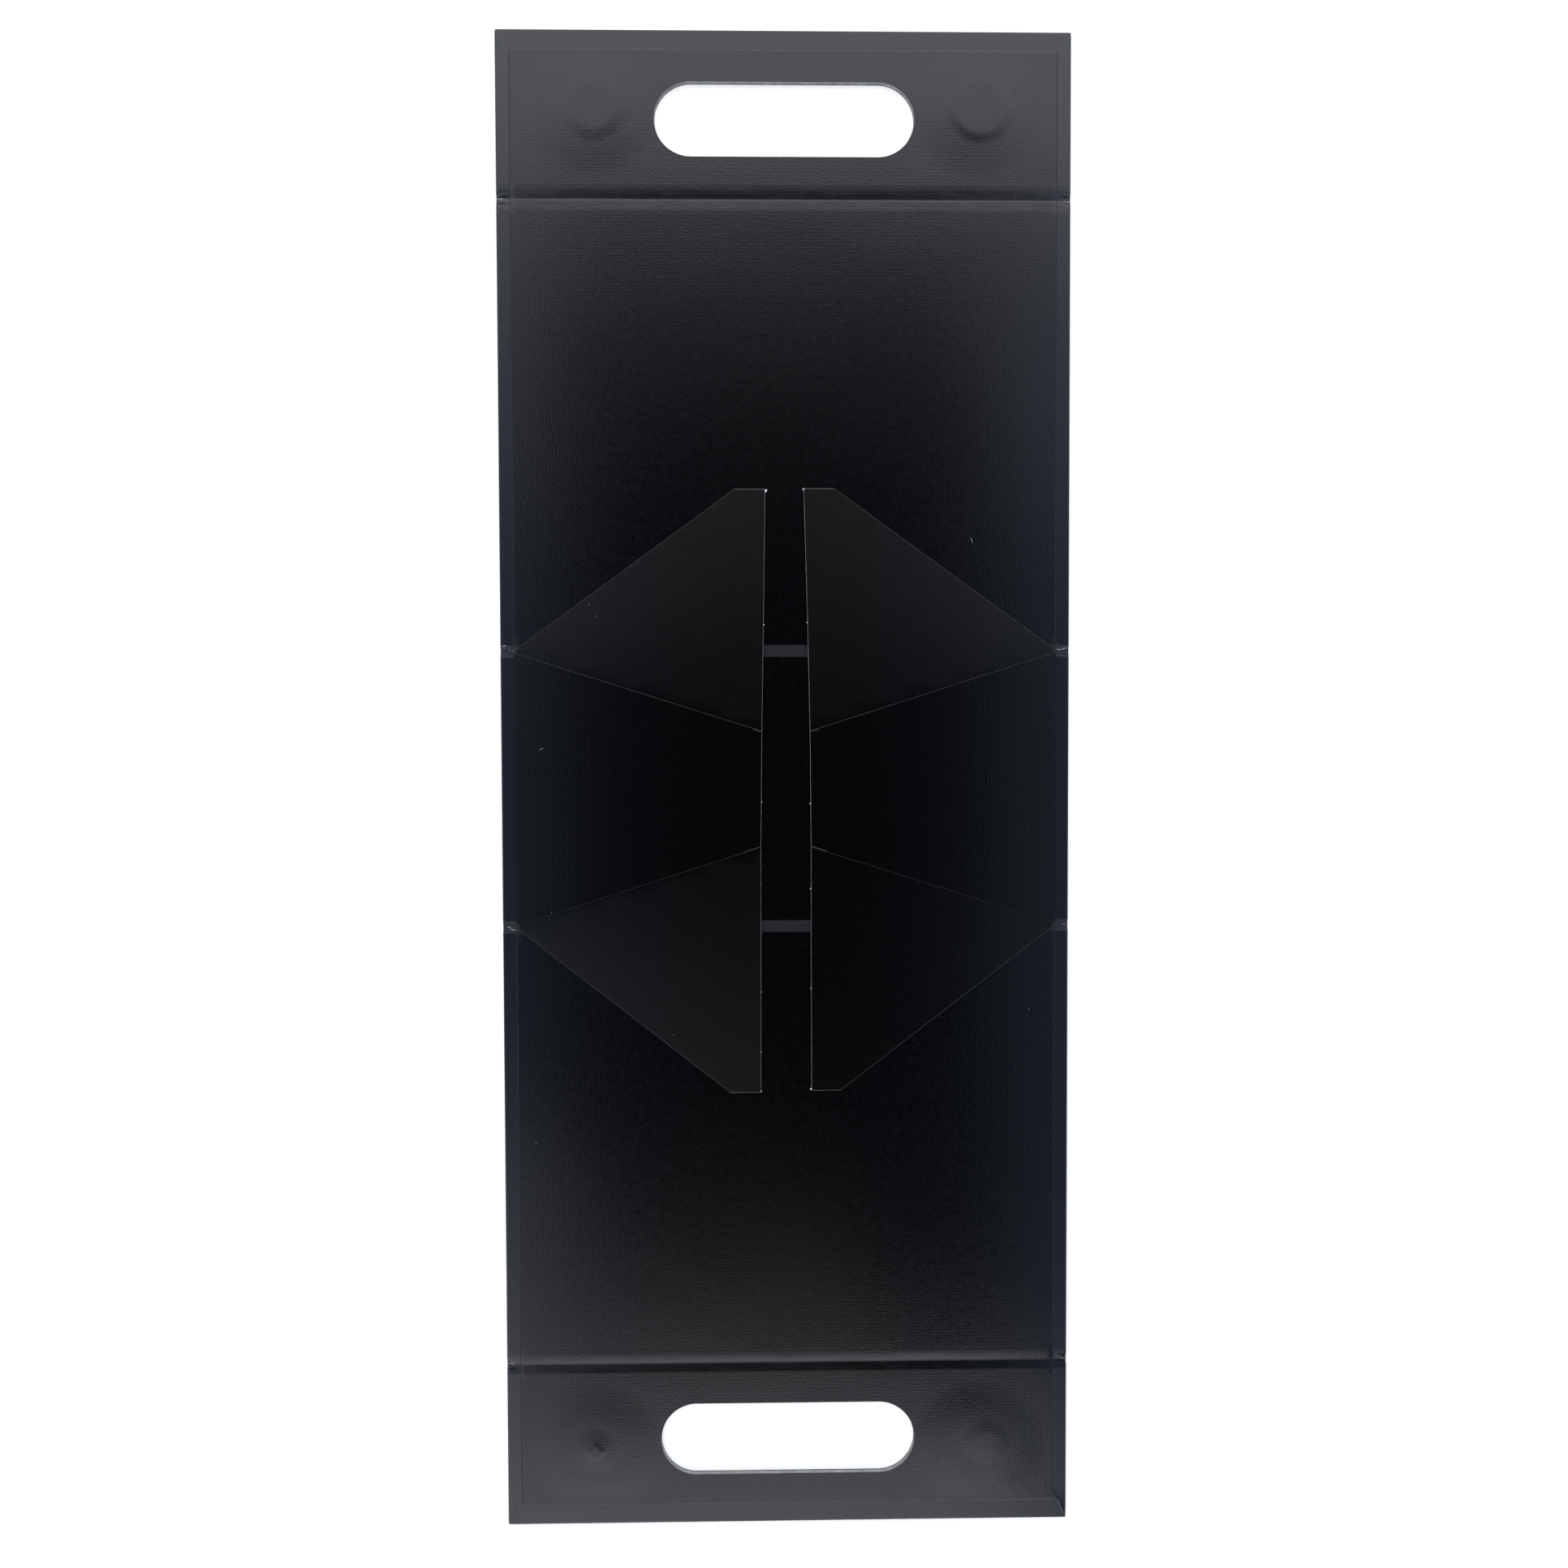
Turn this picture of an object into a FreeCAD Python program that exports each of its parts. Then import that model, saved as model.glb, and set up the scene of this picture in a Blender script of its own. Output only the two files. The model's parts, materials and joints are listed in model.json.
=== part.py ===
import FreeCAD, Part
import math
import os
import Sketcher

# A collapsible carrier box for a bottle, lying open and flat with its inner face up.
# X runs across the box, Y along it, Z up from the table. Panel order along Y is
# handle B, wall B, base, wall A, handle A, with the origin under the middle of the base.
# Everything on side A is drawn at positive Y, and side B is the same turned about Z.

os.makedirs("parts", exist_ok=True)
doc = FreeCAD.newDocument("carrier_box")
Vector = FreeCAD.Vector

# Driving dimensions, in millimetres
drivingSizes = [
    ("overall_width", 210.0),
    ("base_pitch", 102.0),
    ("wall_pitch", 164.0),
    ("handle_reach", 61.0),
    ("hinge_gap", 7.0),
    ("board_thick", 2.0),
    ("wrap_thick", 0.2),
    ("liner_thick", 0.2),
    ("card_thick", 0.5),
    ("turn_in", 12.0),
    ("side_margin", 5.1),
    ("end_margin", 7.2),
    ("groove_floor", 2.0),
    ("groove_clear", 0.1),
    ("web_slit", 0.3),
    ("hinge_height", 1.8),
    ("hole_length", 95.0),
    ("hole_width", 27.0),
    ("hole_offset", 29.0),
    ("magnet_dia", 18.0),
    ("magnet_thick", 2.0),
    ("magnet_proud", 0.4),
    ("magnet_inset", 34.0),
    ("magnet_offset", 34.0),
    ("magnet_clear", 0.2),
    ("bump_skirt", 2.5),
    ("face_clear", 0.15),
    ("fold_inset", 5.3),
    ("gusset_gap", 16.8),
    ("tip_flat", 10.0),
    ("root_cut", 0.8),
    ("card_clear", 0.3),
    ("crease_ease", 1.0),
    ("crease_gap_root", 2.4),
    ("crease_gap_far", 5.9),
    ("flap_width", 14.0),
    ("flap_inset", 1.5),
    ("flap_end", 5.0),
]

sheet = doc.addObject("Spreadsheet::Sheet", "Sizes")
for row, (alias, value) in enumerate(drivingSizes, start=1):
    sheet.set("A%d" % row, alias)
    sheet.set("B%d" % row, str(value))
    sheet.setAlias("B%d" % row, alias)
doc.recompute()


def size(alias):
    return float(sheet.get(alias))


# Sizes that follow from the driving ones, as expressions for the bound objects
halfWidth = "Sizes.overall_width / 2"
halfBase = "Sizes.base_pitch / 2"
handleLine = "(Sizes.base_pitch / 2 + Sizes.wall_pitch)"
freeEdge = "(Sizes.base_pitch / 2 + Sizes.wall_pitch + Sizes.handle_reach)"
halfGap = "Sizes.hinge_gap / 2"
halfSlit = "Sizes.web_slit / 2"
magnetSpread = "(Sizes.overall_width - 2 * Sizes.magnet_inset)"
boardTop = "(Sizes.wrap_thick + Sizes.board_thick)"
linerLow = "(2 * Sizes.wrap_thick + Sizes.board_thick)"

# The same, as numbers, for the shapes made in code
wrapThick = size("wrap_thick")
linerThick = size("liner_thick")
cardThick = size("card_thick")
hingeLine = size("base_pitch") / 2
outerLine = hingeLine + size("wall_pitch")
edgeLine = outerLine + size("handle_reach")
linerHalf = size("overall_width") / 2 - size("side_margin")
linerUnder = 2 * wrapThick + size("board_thick")
linerTop = linerUnder + linerThick
creaseHeight = linerTop + cardThick + size("card_clear")

# Folded up, the walls lean in until the handle liners almost touch
hingeRise = size("hinge_height") - wrapThick
leanReach = hingeLine - (linerTop - wrapThick) - size("magnet_proud") - size("face_clear")
leanArm = math.hypot(size("wall_pitch"), hingeRise)
leanAngle = math.asin(leanReach / leanArm) + math.atan(hingeRise / size("wall_pitch"))
wingAngle = (math.pi / 2 - leanAngle) / 2

# Each gusset reaches from its base fold to the gap between the two
gussetHeight = size("overall_width") / 2 - size("fold_inset") - size("gusset_gap") / 2
wingReach = (gussetHeight - size("tip_flat")) * math.tan(wingAngle)

halfTurn = FreeCAD.Placement(Vector(0, 0, 0), FreeCAD.Rotation(Vector(0, 0, 1), 180))
nodes = []


def keep(node, label):
    node.Label = label
    nodes.append(node)
    return node


def planeOf(body, role):
    return next(plane for plane in body.Origin.OriginFeatures if plane.Role == role)


# Greyboard panels

def drawRectangle(sketch, width, length):
    # centred on X, starting on Y = 0
    corners = [Vector(-10, 0, 0), Vector(10, 0, 0), Vector(10, 10, 0), Vector(-10, 10, 0)]
    for start, end in zip(corners, corners[1:] + corners[:1]):
        sketch.addGeometry(Part.LineSegment(start, end), False)
    for line in range(4):
        sketch.addConstraint(Sketcher.Constraint("Coincident", line, 2, (line + 1) % 4, 1))
    sketch.addConstraint(Sketcher.Constraint("Horizontal", 0))
    sketch.addConstraint(Sketcher.Constraint("Horizontal", 2))
    sketch.addConstraint(Sketcher.Constraint("Vertical", 1))
    sketch.addConstraint(Sketcher.Constraint("Vertical", 3))
    sketch.addConstraint(Sketcher.Constraint("Symmetric", 0, 1, 0, 2, -1, 1))
    across = sketch.addConstraint(Sketcher.Constraint("DistanceX", 0, 1, 0, 2, 20.0))
    along = sketch.addConstraint(Sketcher.Constraint("DistanceY", 0, 2, 1, 2, 10.0))
    sketch.setExpression("Constraints[%d]" % across, width)
    sketch.setExpression("Constraints[%d]" % along, length)


def drawSlot(sketch, offset):
    # the hand hole: two half rounds joined by straight edges, drawn roughly, then bound
    radius = 5.0
    reach = 15.0
    height = 20.0
    left = Part.Circle(Vector(-reach, height, 0), Vector(0, 0, 1), radius)
    right = Part.Circle(Vector(reach, height, 0), Vector(0, 0, 1), radius)
    lowLine = (Vector(-reach, height - radius, 0), Vector(reach, height - radius, 0))
    highLine = (Vector(reach, height + radius, 0), Vector(-reach, height + radius, 0))
    sketch.addGeometry(Part.ArcOfCircle(left, math.pi / 2, 3 * math.pi / 2), False)
    sketch.addGeometry(Part.LineSegment(*lowLine), False)
    sketch.addGeometry(Part.ArcOfCircle(right, -math.pi / 2, math.pi / 2), False)
    sketch.addGeometry(Part.LineSegment(*highLine), False)
    for piece in range(4):
        sketch.addConstraint(Sketcher.Constraint("Tangent", piece, 2, (piece + 1) % 4, 1))
    sketch.addConstraint(Sketcher.Constraint("Horizontal", 1))
    sketch.addConstraint(Sketcher.Constraint("Symmetric", 0, 3, 2, 3, -2))
    span = sketch.addConstraint(Sketcher.Constraint("DistanceX", 0, 3, 2, 3, 2 * reach))
    bend = sketch.addConstraint(Sketcher.Constraint("Radius", 0, radius))
    rise = sketch.addConstraint(Sketcher.Constraint("DistanceY", -1, 1, 0, 3, height))
    sketch.setExpression("Constraints[%d]" % span, "Sizes.hole_length - Sizes.hole_width")
    sketch.setExpression("Constraints[%d]" % bend, "Sizes.hole_width / 2")
    sketch.setExpression("Constraints[%d]" % rise, offset)


def drawMagnetCircles(sketch, offset):
    for index, start in enumerate((-30.0, 30.0)):
        sketch.addGeometry(Part.Circle(Vector(start, 20, 0), Vector(0, 0, 1), 5.0), False)
        wide = sketch.addConstraint(Sketcher.Constraint("Radius", index, 5.0))
        sketch.setExpression("Constraints[%d]" % wide, "Sizes.magnet_dia / 2 + Sizes.magnet_clear")
    sketch.addConstraint(Sketcher.Constraint("Symmetric", 0, 3, 1, 3, -2))
    spread = sketch.addConstraint(Sketcher.Constraint("DistanceX", 0, 3, 1, 3, 60.0))
    rise = sketch.addConstraint(Sketcher.Constraint("DistanceY", -1, 1, 0, 3, 20.0))
    sketch.setExpression("Constraints[%d]" % spread, magnetSpread)
    sketch.setExpression("Constraints[%d]" % rise, offset)


def newSketch(body, name):
    sketch = body.newObject("Sketcher::SketchObject", name)
    sketch.AttachmentSupport = [(planeOf(body, "XY_Plane"), "")]
    sketch.MapMode = "FlatFace"
    return sketch


def addBoard(label, near, length, turned):
    # near is the distance from the origin to the board's first edge, along its side's Y
    body = doc.addObject("PartDesign::Body", label)
    outline = newSketch(body, label + "_outline")
    drawRectangle(outline, "Sizes.overall_width - 2 * Sizes.wrap_thick", length)
    pad = body.newObject("PartDesign::Pad", label + "_pad")
    pad.Profile = outline
    pad.setExpression("Length", "Sizes.board_thick")
    if turned:
        body.Placement = halfTurn
        near = "-(%s)" % near
    body.setExpression("Placement.Base.y", near)
    body.setExpression("Placement.Base.z", "Sizes.wrap_thick")
    doc.recompute()
    return body


def cutBoard(body, name, draw, offset, depth):
    # a recess from the board's upper face, or right through where depth is None
    before = body.Shape.Volume
    sketch = newSketch(body, name)
    sketch.setExpression("AttachmentOffset.Base.z", "Sizes.board_thick")
    draw(sketch, offset)
    pocket = body.newObject("PartDesign::Pocket", name + "_cut")
    pocket.Profile = sketch
    if depth is None:
        pocket.Type = "ThroughAll"
    else:
        pocket.setExpression("Length", depth)
    doc.recompute()
    if body.Shape.Volume >= before - 1:
        raise RuntimeError("%s removed nothing" % name)


# Outer wrap: the sheet under each board, turned up round its edges and in over its top

def addBox(name, xs, ys, zs):
    block = doc.addObject("Part::Box", name)
    for axis, length, (low, high) in zip("xyz", ("Length", "Width", "Height"), (xs, ys, zs)):
        block.setExpression("Placement.Base.%s" % axis, low)
        block.setExpression(length, "(%s) - (%s)" % (high, low))
    return block


def fuseBlocks(name, blocks):
    whole = doc.addObject("Part::MultiFuse", name)
    whole.Shapes = blocks
    whole.Refine = True
    return whole


def wrapBlocks(label, sheetY, boardY):
    # sheetY is how far the sheet runs, boardY the stretch where its sides turn in
    negHalf = "-(%s)" % halfWidth
    blocks = [addBox(label + "_sheet", (negHalf, halfWidth), sheetY, ("0", "Sizes.wrap_thick"))]
    sides = (
        ("left", (negHalf, negHalf + " + Sizes.wrap_thick"), (negHalf, negHalf + " + Sizes.turn_in")),
        ("right", (halfWidth + " - Sizes.wrap_thick", halfWidth), (halfWidth + " - Sizes.turn_in", halfWidth)),
    )
    for side, edgeX, turnX in sides:
        blocks.append(addBox(label + "_edge_" + side, edgeX, boardY, ("0", linerLow)))
        blocks.append(addBox(label + "_turn_" + side, turnX, boardY, (boardTop, linerLow)))
    return blocks


def handleEndBlocks(label):
    negHalf = "-(%s)" % halfWidth
    across = (negHalf, halfWidth)
    edge = addBox(label + "_edge_end", across, (freeEdge + " - Sizes.wrap_thick", freeEdge), ("0", linerLow))
    turn = addBox(label + "_turn_end", across, (freeEdge + " - Sizes.turn_in", freeEdge), (boardTop, linerLow))
    return [edge, turn]


# The hand hole's cutter, taller than the handle

def addHoleCutter():
    holeLine = handleLine + " + Sizes.hole_offset"
    halfSpan = "(Sizes.hole_length - Sizes.hole_width) / 2"
    low = "-Sizes.board_thick"
    high = "3 * Sizes.board_thick"
    radius = "Sizes.hole_width / 2"
    along = ("%s - %s" % (holeLine, radius), "%s + %s" % (holeLine, radius))
    pieces = [addBox("hole_middle", ("-(%s)" % halfSpan, halfSpan), along, (low, high))]
    for name, centre in (("hole_left", "-(%s)" % halfSpan), ("hole_right", halfSpan)):
        end = doc.addObject("Part::Cylinder", name)
        end.setExpression("Radius", radius)
        end.setExpression("Height", "(%s) - (%s)" % (high, low))
        end.setExpression("Placement.Base.x", centre)
        end.setExpression("Placement.Base.y", holeLine)
        end.setExpression("Placement.Base.z", low)
        pieces.append(end)
    return fuseBlocks("hand_hole_cutter", pieces)


# Inner liner: flat over each board and pressed down into the hinge grooves

def grooveWall(line, way):
    # underside points of half a groove, from the hinge line up to the panel's flat
    slit = size("web_slit") / 2
    flat = size("groove_floor") / 2
    top = size("hinge_gap") / 2 - size("groove_clear")
    return [(line + way * slit, wrapThick), (line + way * flat, wrapThick), (line + way * top, linerUnder)]


def linerShape(underside):
    # underside is a list of (y, z) from low to high y
    upper = [(y, z + linerThick) for y, z in reversed(underside)]
    outline = [Vector(-linerHalf, y, z) for y, z in underside + upper]
    face = Part.Face(Part.makePolygon(outline + outline[:1]))
    return face.extrude(Vector(2 * linerHalf, 0, 0))


def magnetCentres():
    rise = outerLine + size("magnet_offset")
    spread = size("overall_width") / 2 - size("magnet_inset")
    return [("left", Vector(-spread, rise, 0)), ("right", Vector(spread, rise, 0))]


def handleLinerShape(cutter):
    endLine = edgeLine - size("end_margin")
    shape = linerShape(grooveWall(outerLine, 1) + [(endLine, linerUnder)])
    proud = size("magnet_proud")
    radius = size("magnet_dia") / 2
    for side, centre in magnetCentres():
        top = Vector(centre.x, centre.y, linerTop)
        bump = Part.makeCone(radius + size("bump_skirt"), radius + linerThick + size("magnet_clear"), proud, top)
        shape = shape.fuse(bump)
    for side, centre in magnetCentres():
        under = Vector(centre.x, centre.y, linerUnder)
        shape = shape.cut(Part.makeCylinder(radius + size("magnet_clear"), proud, under))
    return shape.cut(cutter.Shape).removeSplitter()


def addFeature(label, shape, turned):
    feature = doc.addObject("Part::Feature", label)
    feature.Shape = shape
    if turned:
        feature.Placement = halfTurn
    return feature


def addMagnet(label, across, turned):
    # seated on the floor of its recess, a little proud of the board
    magnet = doc.addObject("Part::Cylinder", label)
    magnet.setExpression("Radius", "Sizes.magnet_dia / 2")
    magnet.setExpression("Height", "Sizes.magnet_thick")
    along = handleLine + " + Sizes.magnet_offset"
    if turned:
        along = "-(%s)" % along
    magnet.setExpression("Placement.Base.x", across)
    magnet.setExpression("Placement.Base.y", along)
    magnet.setExpression("Placement.Base.z", linerLow + " + Sizes.magnet_proud - Sizes.magnet_thick")
    return magnet


# Gussets: die-cut card, folded flat over the base and the walls

def cardShape(points, low, way):
    # points are (distance in from the gusset's base fold, y); way is -1 left, 1 right
    fold = size("overall_width") / 2 - size("fold_inset")
    outline = [Vector(way * (fold - inward), y, low) for inward, y in points]
    face = Part.Face(Part.makePolygon(outline + outline[:1]))
    return face.extrude(Vector(0, 0, cardThick))


def creaseLine(inward):
    # where the wing's lower edge runs, along the crease that it shares with the end panel
    return hingeLine - size("crease_ease") - inward * math.tan(leanAngle)


def endPanelPoints():
    root = creaseLine(0) - size("crease_gap_root")
    far = creaseLine(gussetHeight) - size("crease_gap_far")
    return [(0, root), (gussetHeight, far), (gussetHeight, -far), (0, -root)]


def wingPoints():
    root = size("root_cut")
    return [
        (root, hingeLine + root * math.tan(wingAngle)),
        (root, creaseLine(root)),
        (gussetHeight, creaseLine(gussetHeight)),
        (gussetHeight, hingeLine + wingReach),
        (gussetHeight - size("tip_flat"), hingeLine + wingReach),
    ]


def wallFlapPoints():
    # a strip under the wing along its diagonal fold, cut back from the groove
    wide = size("flap_width")
    off = size("card_clear")
    edge = size("hinge_gap") / 2 + size("flap_inset")
    end = wingReach / math.sin(wingAngle) - size("flap_end")
    sine = math.sin(wingAngle)
    cosine = math.cos(wingAngle)
    corners = [
        ((edge + off * cosine) / sine, off),
        ((edge + wide * cosine) / sine, wide),
        (end - wide, wide),
        (end, off),
    ]
    return [(run * cosine + depth * sine, hingeLine + run * sine - depth * cosine) for run, depth in corners]


def baseFlapPoints():
    wide = size("flap_width")
    off = size("card_clear")
    root = hingeLine - size("hinge_gap") / 2 - size("flap_inset")
    far = root - wide * math.tan(wingAngle)
    return [(off, root), (wide, far), (wide, -far), (off, -root)]


# Base panel
baseBoard = addBoard(
    "base_board",
    "-(Sizes.base_pitch - Sizes.hinge_gap) / 2",
    "Sizes.base_pitch - Sizes.hinge_gap",
    False,
)
keep(baseBoard, "base_board")
baseSheetY = ("-(%s) + %s" % (halfBase, halfSlit), "%s - %s" % (halfBase, halfSlit))
baseBoardY = ("-(%s) + %s" % (halfBase, halfGap), "%s - %s" % (halfBase, halfGap))
keep(fuseBlocks("base_wrap", wrapBlocks("base_wrap", baseSheetY, baseBoardY)), "base_wrap")
baseUnderside = grooveWall(-hingeLine, 1) + grooveWall(hingeLine, -1)[::-1]
keep(addFeature("base_liner", linerShape(baseUnderside), False), "base_liner")

# Walls and handles, the same on both sides
wallSheetY = ("%s + %s" % (halfBase, halfSlit), "%s - %s" % (handleLine, halfSlit))
wallBoardY = ("%s + %s" % (halfBase, halfGap), "%s - %s" % (handleLine, halfGap))
wallUnderside = grooveWall(hingeLine, 1) + grooveWall(outerLine, -1)[::-1]
handleSheetY = ("%s + %s" % (handleLine, halfSlit), freeEdge)
handleBoardY = ("%s + %s" % (handleLine, halfGap), freeEdge)
recessDepth = "Sizes.magnet_thick - Sizes.magnet_proud - Sizes.wrap_thick"
holeCutter = addHoleCutter()
doc.recompute()

for side, turned in (("a", False), ("b", True)):
    wall = "wall_" + side
    handle = "handle_" + side
    wallLength = "Sizes.wall_pitch - Sizes.hinge_gap"
    handleLength = "Sizes.handle_reach - %s - Sizes.wrap_thick" % halfGap

    keep(addBoard(wall + "_board", wallBoardY[0], wallLength, turned), wall + "_board")
    wallWrap = fuseBlocks(wall + "_wrap", wrapBlocks(wall + "_wrap", wallSheetY, wallBoardY))
    keep(wallWrap, wall + "_wrap")
    keep(addFeature(wall + "_liner", linerShape(wallUnderside), turned), wall + "_liner")

    handleBoard = addBoard(handle + "_board", handleBoardY[0], handleLength, turned)
    cutBoard(handleBoard, handle + "_hole", drawSlot, "Sizes.hole_offset - " + halfGap, None)
    magnetRise = "Sizes.magnet_offset - " + halfGap
    cutBoard(handleBoard, handle + "_recess", drawMagnetCircles, magnetRise, recessDepth)
    keep(handleBoard, handle + "_board")
    blocks = wrapBlocks(handle + "_wrap", handleSheetY, handleBoardY) + handleEndBlocks(handle + "_wrap")
    handleWrap = doc.addObject("Part::Cut", handle + "_wrap")
    handleWrap.Base = fuseBlocks(handle + "_wrap_whole", blocks)
    handleWrap.Tool = holeCutter
    keep(handleWrap, handle + "_wrap")
    keep(addFeature(handle + "_liner", handleLinerShape(holeCutter), turned), handle + "_liner")
    if turned:
        wallWrap.Placement = halfTurn
        handleWrap.Placement = halfTurn
    for place, across in (("left", "-%s / 2" % magnetSpread), ("right", "%s / 2" % magnetSpread)):
        label = "%s_magnet_%s" % (handle, place)
        keep(addMagnet(label, across, turned), label)

# Gussets, drawn for the left and the right; each wing and wall flap on sides A and B
for place, way in (("left", -1), ("right", 1)):
    gusset = place + "_gusset"
    endPanel = cardShape(endPanelPoints(), creaseHeight, way)
    baseFlap = cardShape(baseFlapPoints(), linerTop, way)
    keep(addFeature(gusset + "_end_panel", endPanel, False), gusset + "_end_panel")
    keep(addFeature(gusset + "_base_flap", baseFlap, False), gusset + "_base_flap")
    for side, turned in (("a", False), ("b", True)):
        # the half turn that carries side A to side B also swaps left and right
        drawnWay = -way if turned else way
        wing = cardShape(wingPoints(), creaseHeight, drawnWay)
        wallFlap = cardShape(wallFlapPoints(), linerTop, drawnWay)
        keep(addFeature("%s_wing_%s" % (gusset, side), wing, turned), "%s_wing_%s" % (gusset, side))
        keep(addFeature("%s_wall_flap_%s" % (gusset, side), wallFlap, turned), "%s_wall_flap_%s" % (gusset, side))

doc.recompute()
for item in doc.Objects:
    if "Invalid" in item.State or "Error" in item.State:
        raise RuntimeError("%s is %s" % (item.Label, item.State))
for node in nodes:
    if node.Shape.isNull() or not node.Shape.isValid():
        raise RuntimeError("%s has no valid shape" % node.Label)
    if len(node.Shape.Solids) != 1:
        raise RuntimeError("%s has %d solids" % (node.Label, len(node.Shape.Solids)))

for node in nodes:
    node.Shape.exportStep("parts/%s.step" % node.Label)
print("wall fold %.4f degrees, wing fold line %.4f degrees" % (
    90 + math.degrees(leanAngle), math.degrees(wingAngle)))
print("crease height %.3f mm, %d nodes" % (creaseHeight, len(nodes)))
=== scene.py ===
import json
import math

import bmesh
import bpy
from mathutils import Matrix, Vector, noise


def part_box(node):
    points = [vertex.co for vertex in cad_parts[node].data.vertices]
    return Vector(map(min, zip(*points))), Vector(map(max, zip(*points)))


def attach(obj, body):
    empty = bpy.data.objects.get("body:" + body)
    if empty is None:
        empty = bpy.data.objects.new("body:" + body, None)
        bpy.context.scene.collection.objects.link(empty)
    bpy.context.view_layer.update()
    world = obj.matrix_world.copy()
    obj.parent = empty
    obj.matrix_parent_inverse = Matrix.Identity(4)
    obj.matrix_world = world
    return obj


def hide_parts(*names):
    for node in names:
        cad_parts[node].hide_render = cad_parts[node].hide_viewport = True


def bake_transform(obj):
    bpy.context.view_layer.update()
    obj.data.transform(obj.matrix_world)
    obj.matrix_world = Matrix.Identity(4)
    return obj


# Dresses a collapsible carrier box that lies open and flat with its inner face up.
# X runs across, Y along (side A at positive Y), Z up, all in metres.
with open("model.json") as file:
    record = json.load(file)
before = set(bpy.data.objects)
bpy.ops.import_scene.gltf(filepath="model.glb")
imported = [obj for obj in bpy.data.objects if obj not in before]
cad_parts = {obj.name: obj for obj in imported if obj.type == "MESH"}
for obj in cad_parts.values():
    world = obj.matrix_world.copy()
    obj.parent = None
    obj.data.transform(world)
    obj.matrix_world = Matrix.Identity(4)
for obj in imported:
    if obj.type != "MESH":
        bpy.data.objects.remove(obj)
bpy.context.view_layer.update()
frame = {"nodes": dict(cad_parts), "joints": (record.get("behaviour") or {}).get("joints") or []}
mm = 0.001
print("frame loaded:", len(frame["nodes"]), "nodes")

# Lines of the box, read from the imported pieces
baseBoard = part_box("base_board")
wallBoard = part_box("wall_a_board")
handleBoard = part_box("handle_a_board")
lines = {
    "halfWide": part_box("base_wrap")[1].x,
    "wrapTop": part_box("base_wrap")[1].z,
    "linerHalf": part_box("base_liner")[1].x,
    "linerTop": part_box("base_liner")[1].z,
    "linerEnd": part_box("handle_a_liner")[1].y,
    "freeEdge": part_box("handle_a_wrap")[1].y,
    "baseHinge": (baseBoard[1].y + wallBoard[0].y) / 2,
    "handleHinge": (wallBoard[1].y + handleBoard[0].y) / 2,
    "cardTop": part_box("left_gusset_wing_a")[1].z,
    "cardUnder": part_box("left_gusset_wing_a")[0].z,
}
foldRange = next(j for j in frame["joints"] if j["name"] == "wall_a_fold")["range_deg"]
leanAngle = math.radians(max(foldRange) - 90)
paperThick = 0.2 * mm
stripThick = paperThick * 0.9  # paper at the hinges is stretched a little thinner
stripReach = 5.5 * mm  # each hinge strip ends this far from its hinge line, on flat paper


def smoothStep(low, high, value):
    share = min(1.0, max(0.0, (value - low) / (high - low)))
    return share * share * (3 - 2 * share)


def rough(x, y, size, seed=0.0):
    # slow noise over the sheet, about -1 to 1
    return noise.noise(Vector((x / size, y / size, seed)))


# Materials
def addNode(nodes, kind, place, **values):
    node = nodes.new(kind)
    node.location = place
    for name, value in values.items():
        setattr(node, name, value)
    return node


def newMaterial(name, baseColour, roughness, specular=0.5, specularTint=(1, 1, 1), metallic=0.0):
    made = bpy.data.materials.new(name)
    made.use_nodes = True
    made.diffuse_color = (*baseColour, 1)
    shader = made.node_tree.nodes["Principled BSDF"]
    shader.inputs["Base Color"].default_value = (*baseColour, 1)
    shader.inputs["Roughness"].default_value = roughness
    shader.inputs["Metallic"].default_value = metallic
    shader.inputs["Specular IOR Level"].default_value = specular
    shader.inputs["Specular Tint"].default_value = (*specularTint, 1)
    return made, shader


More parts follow.
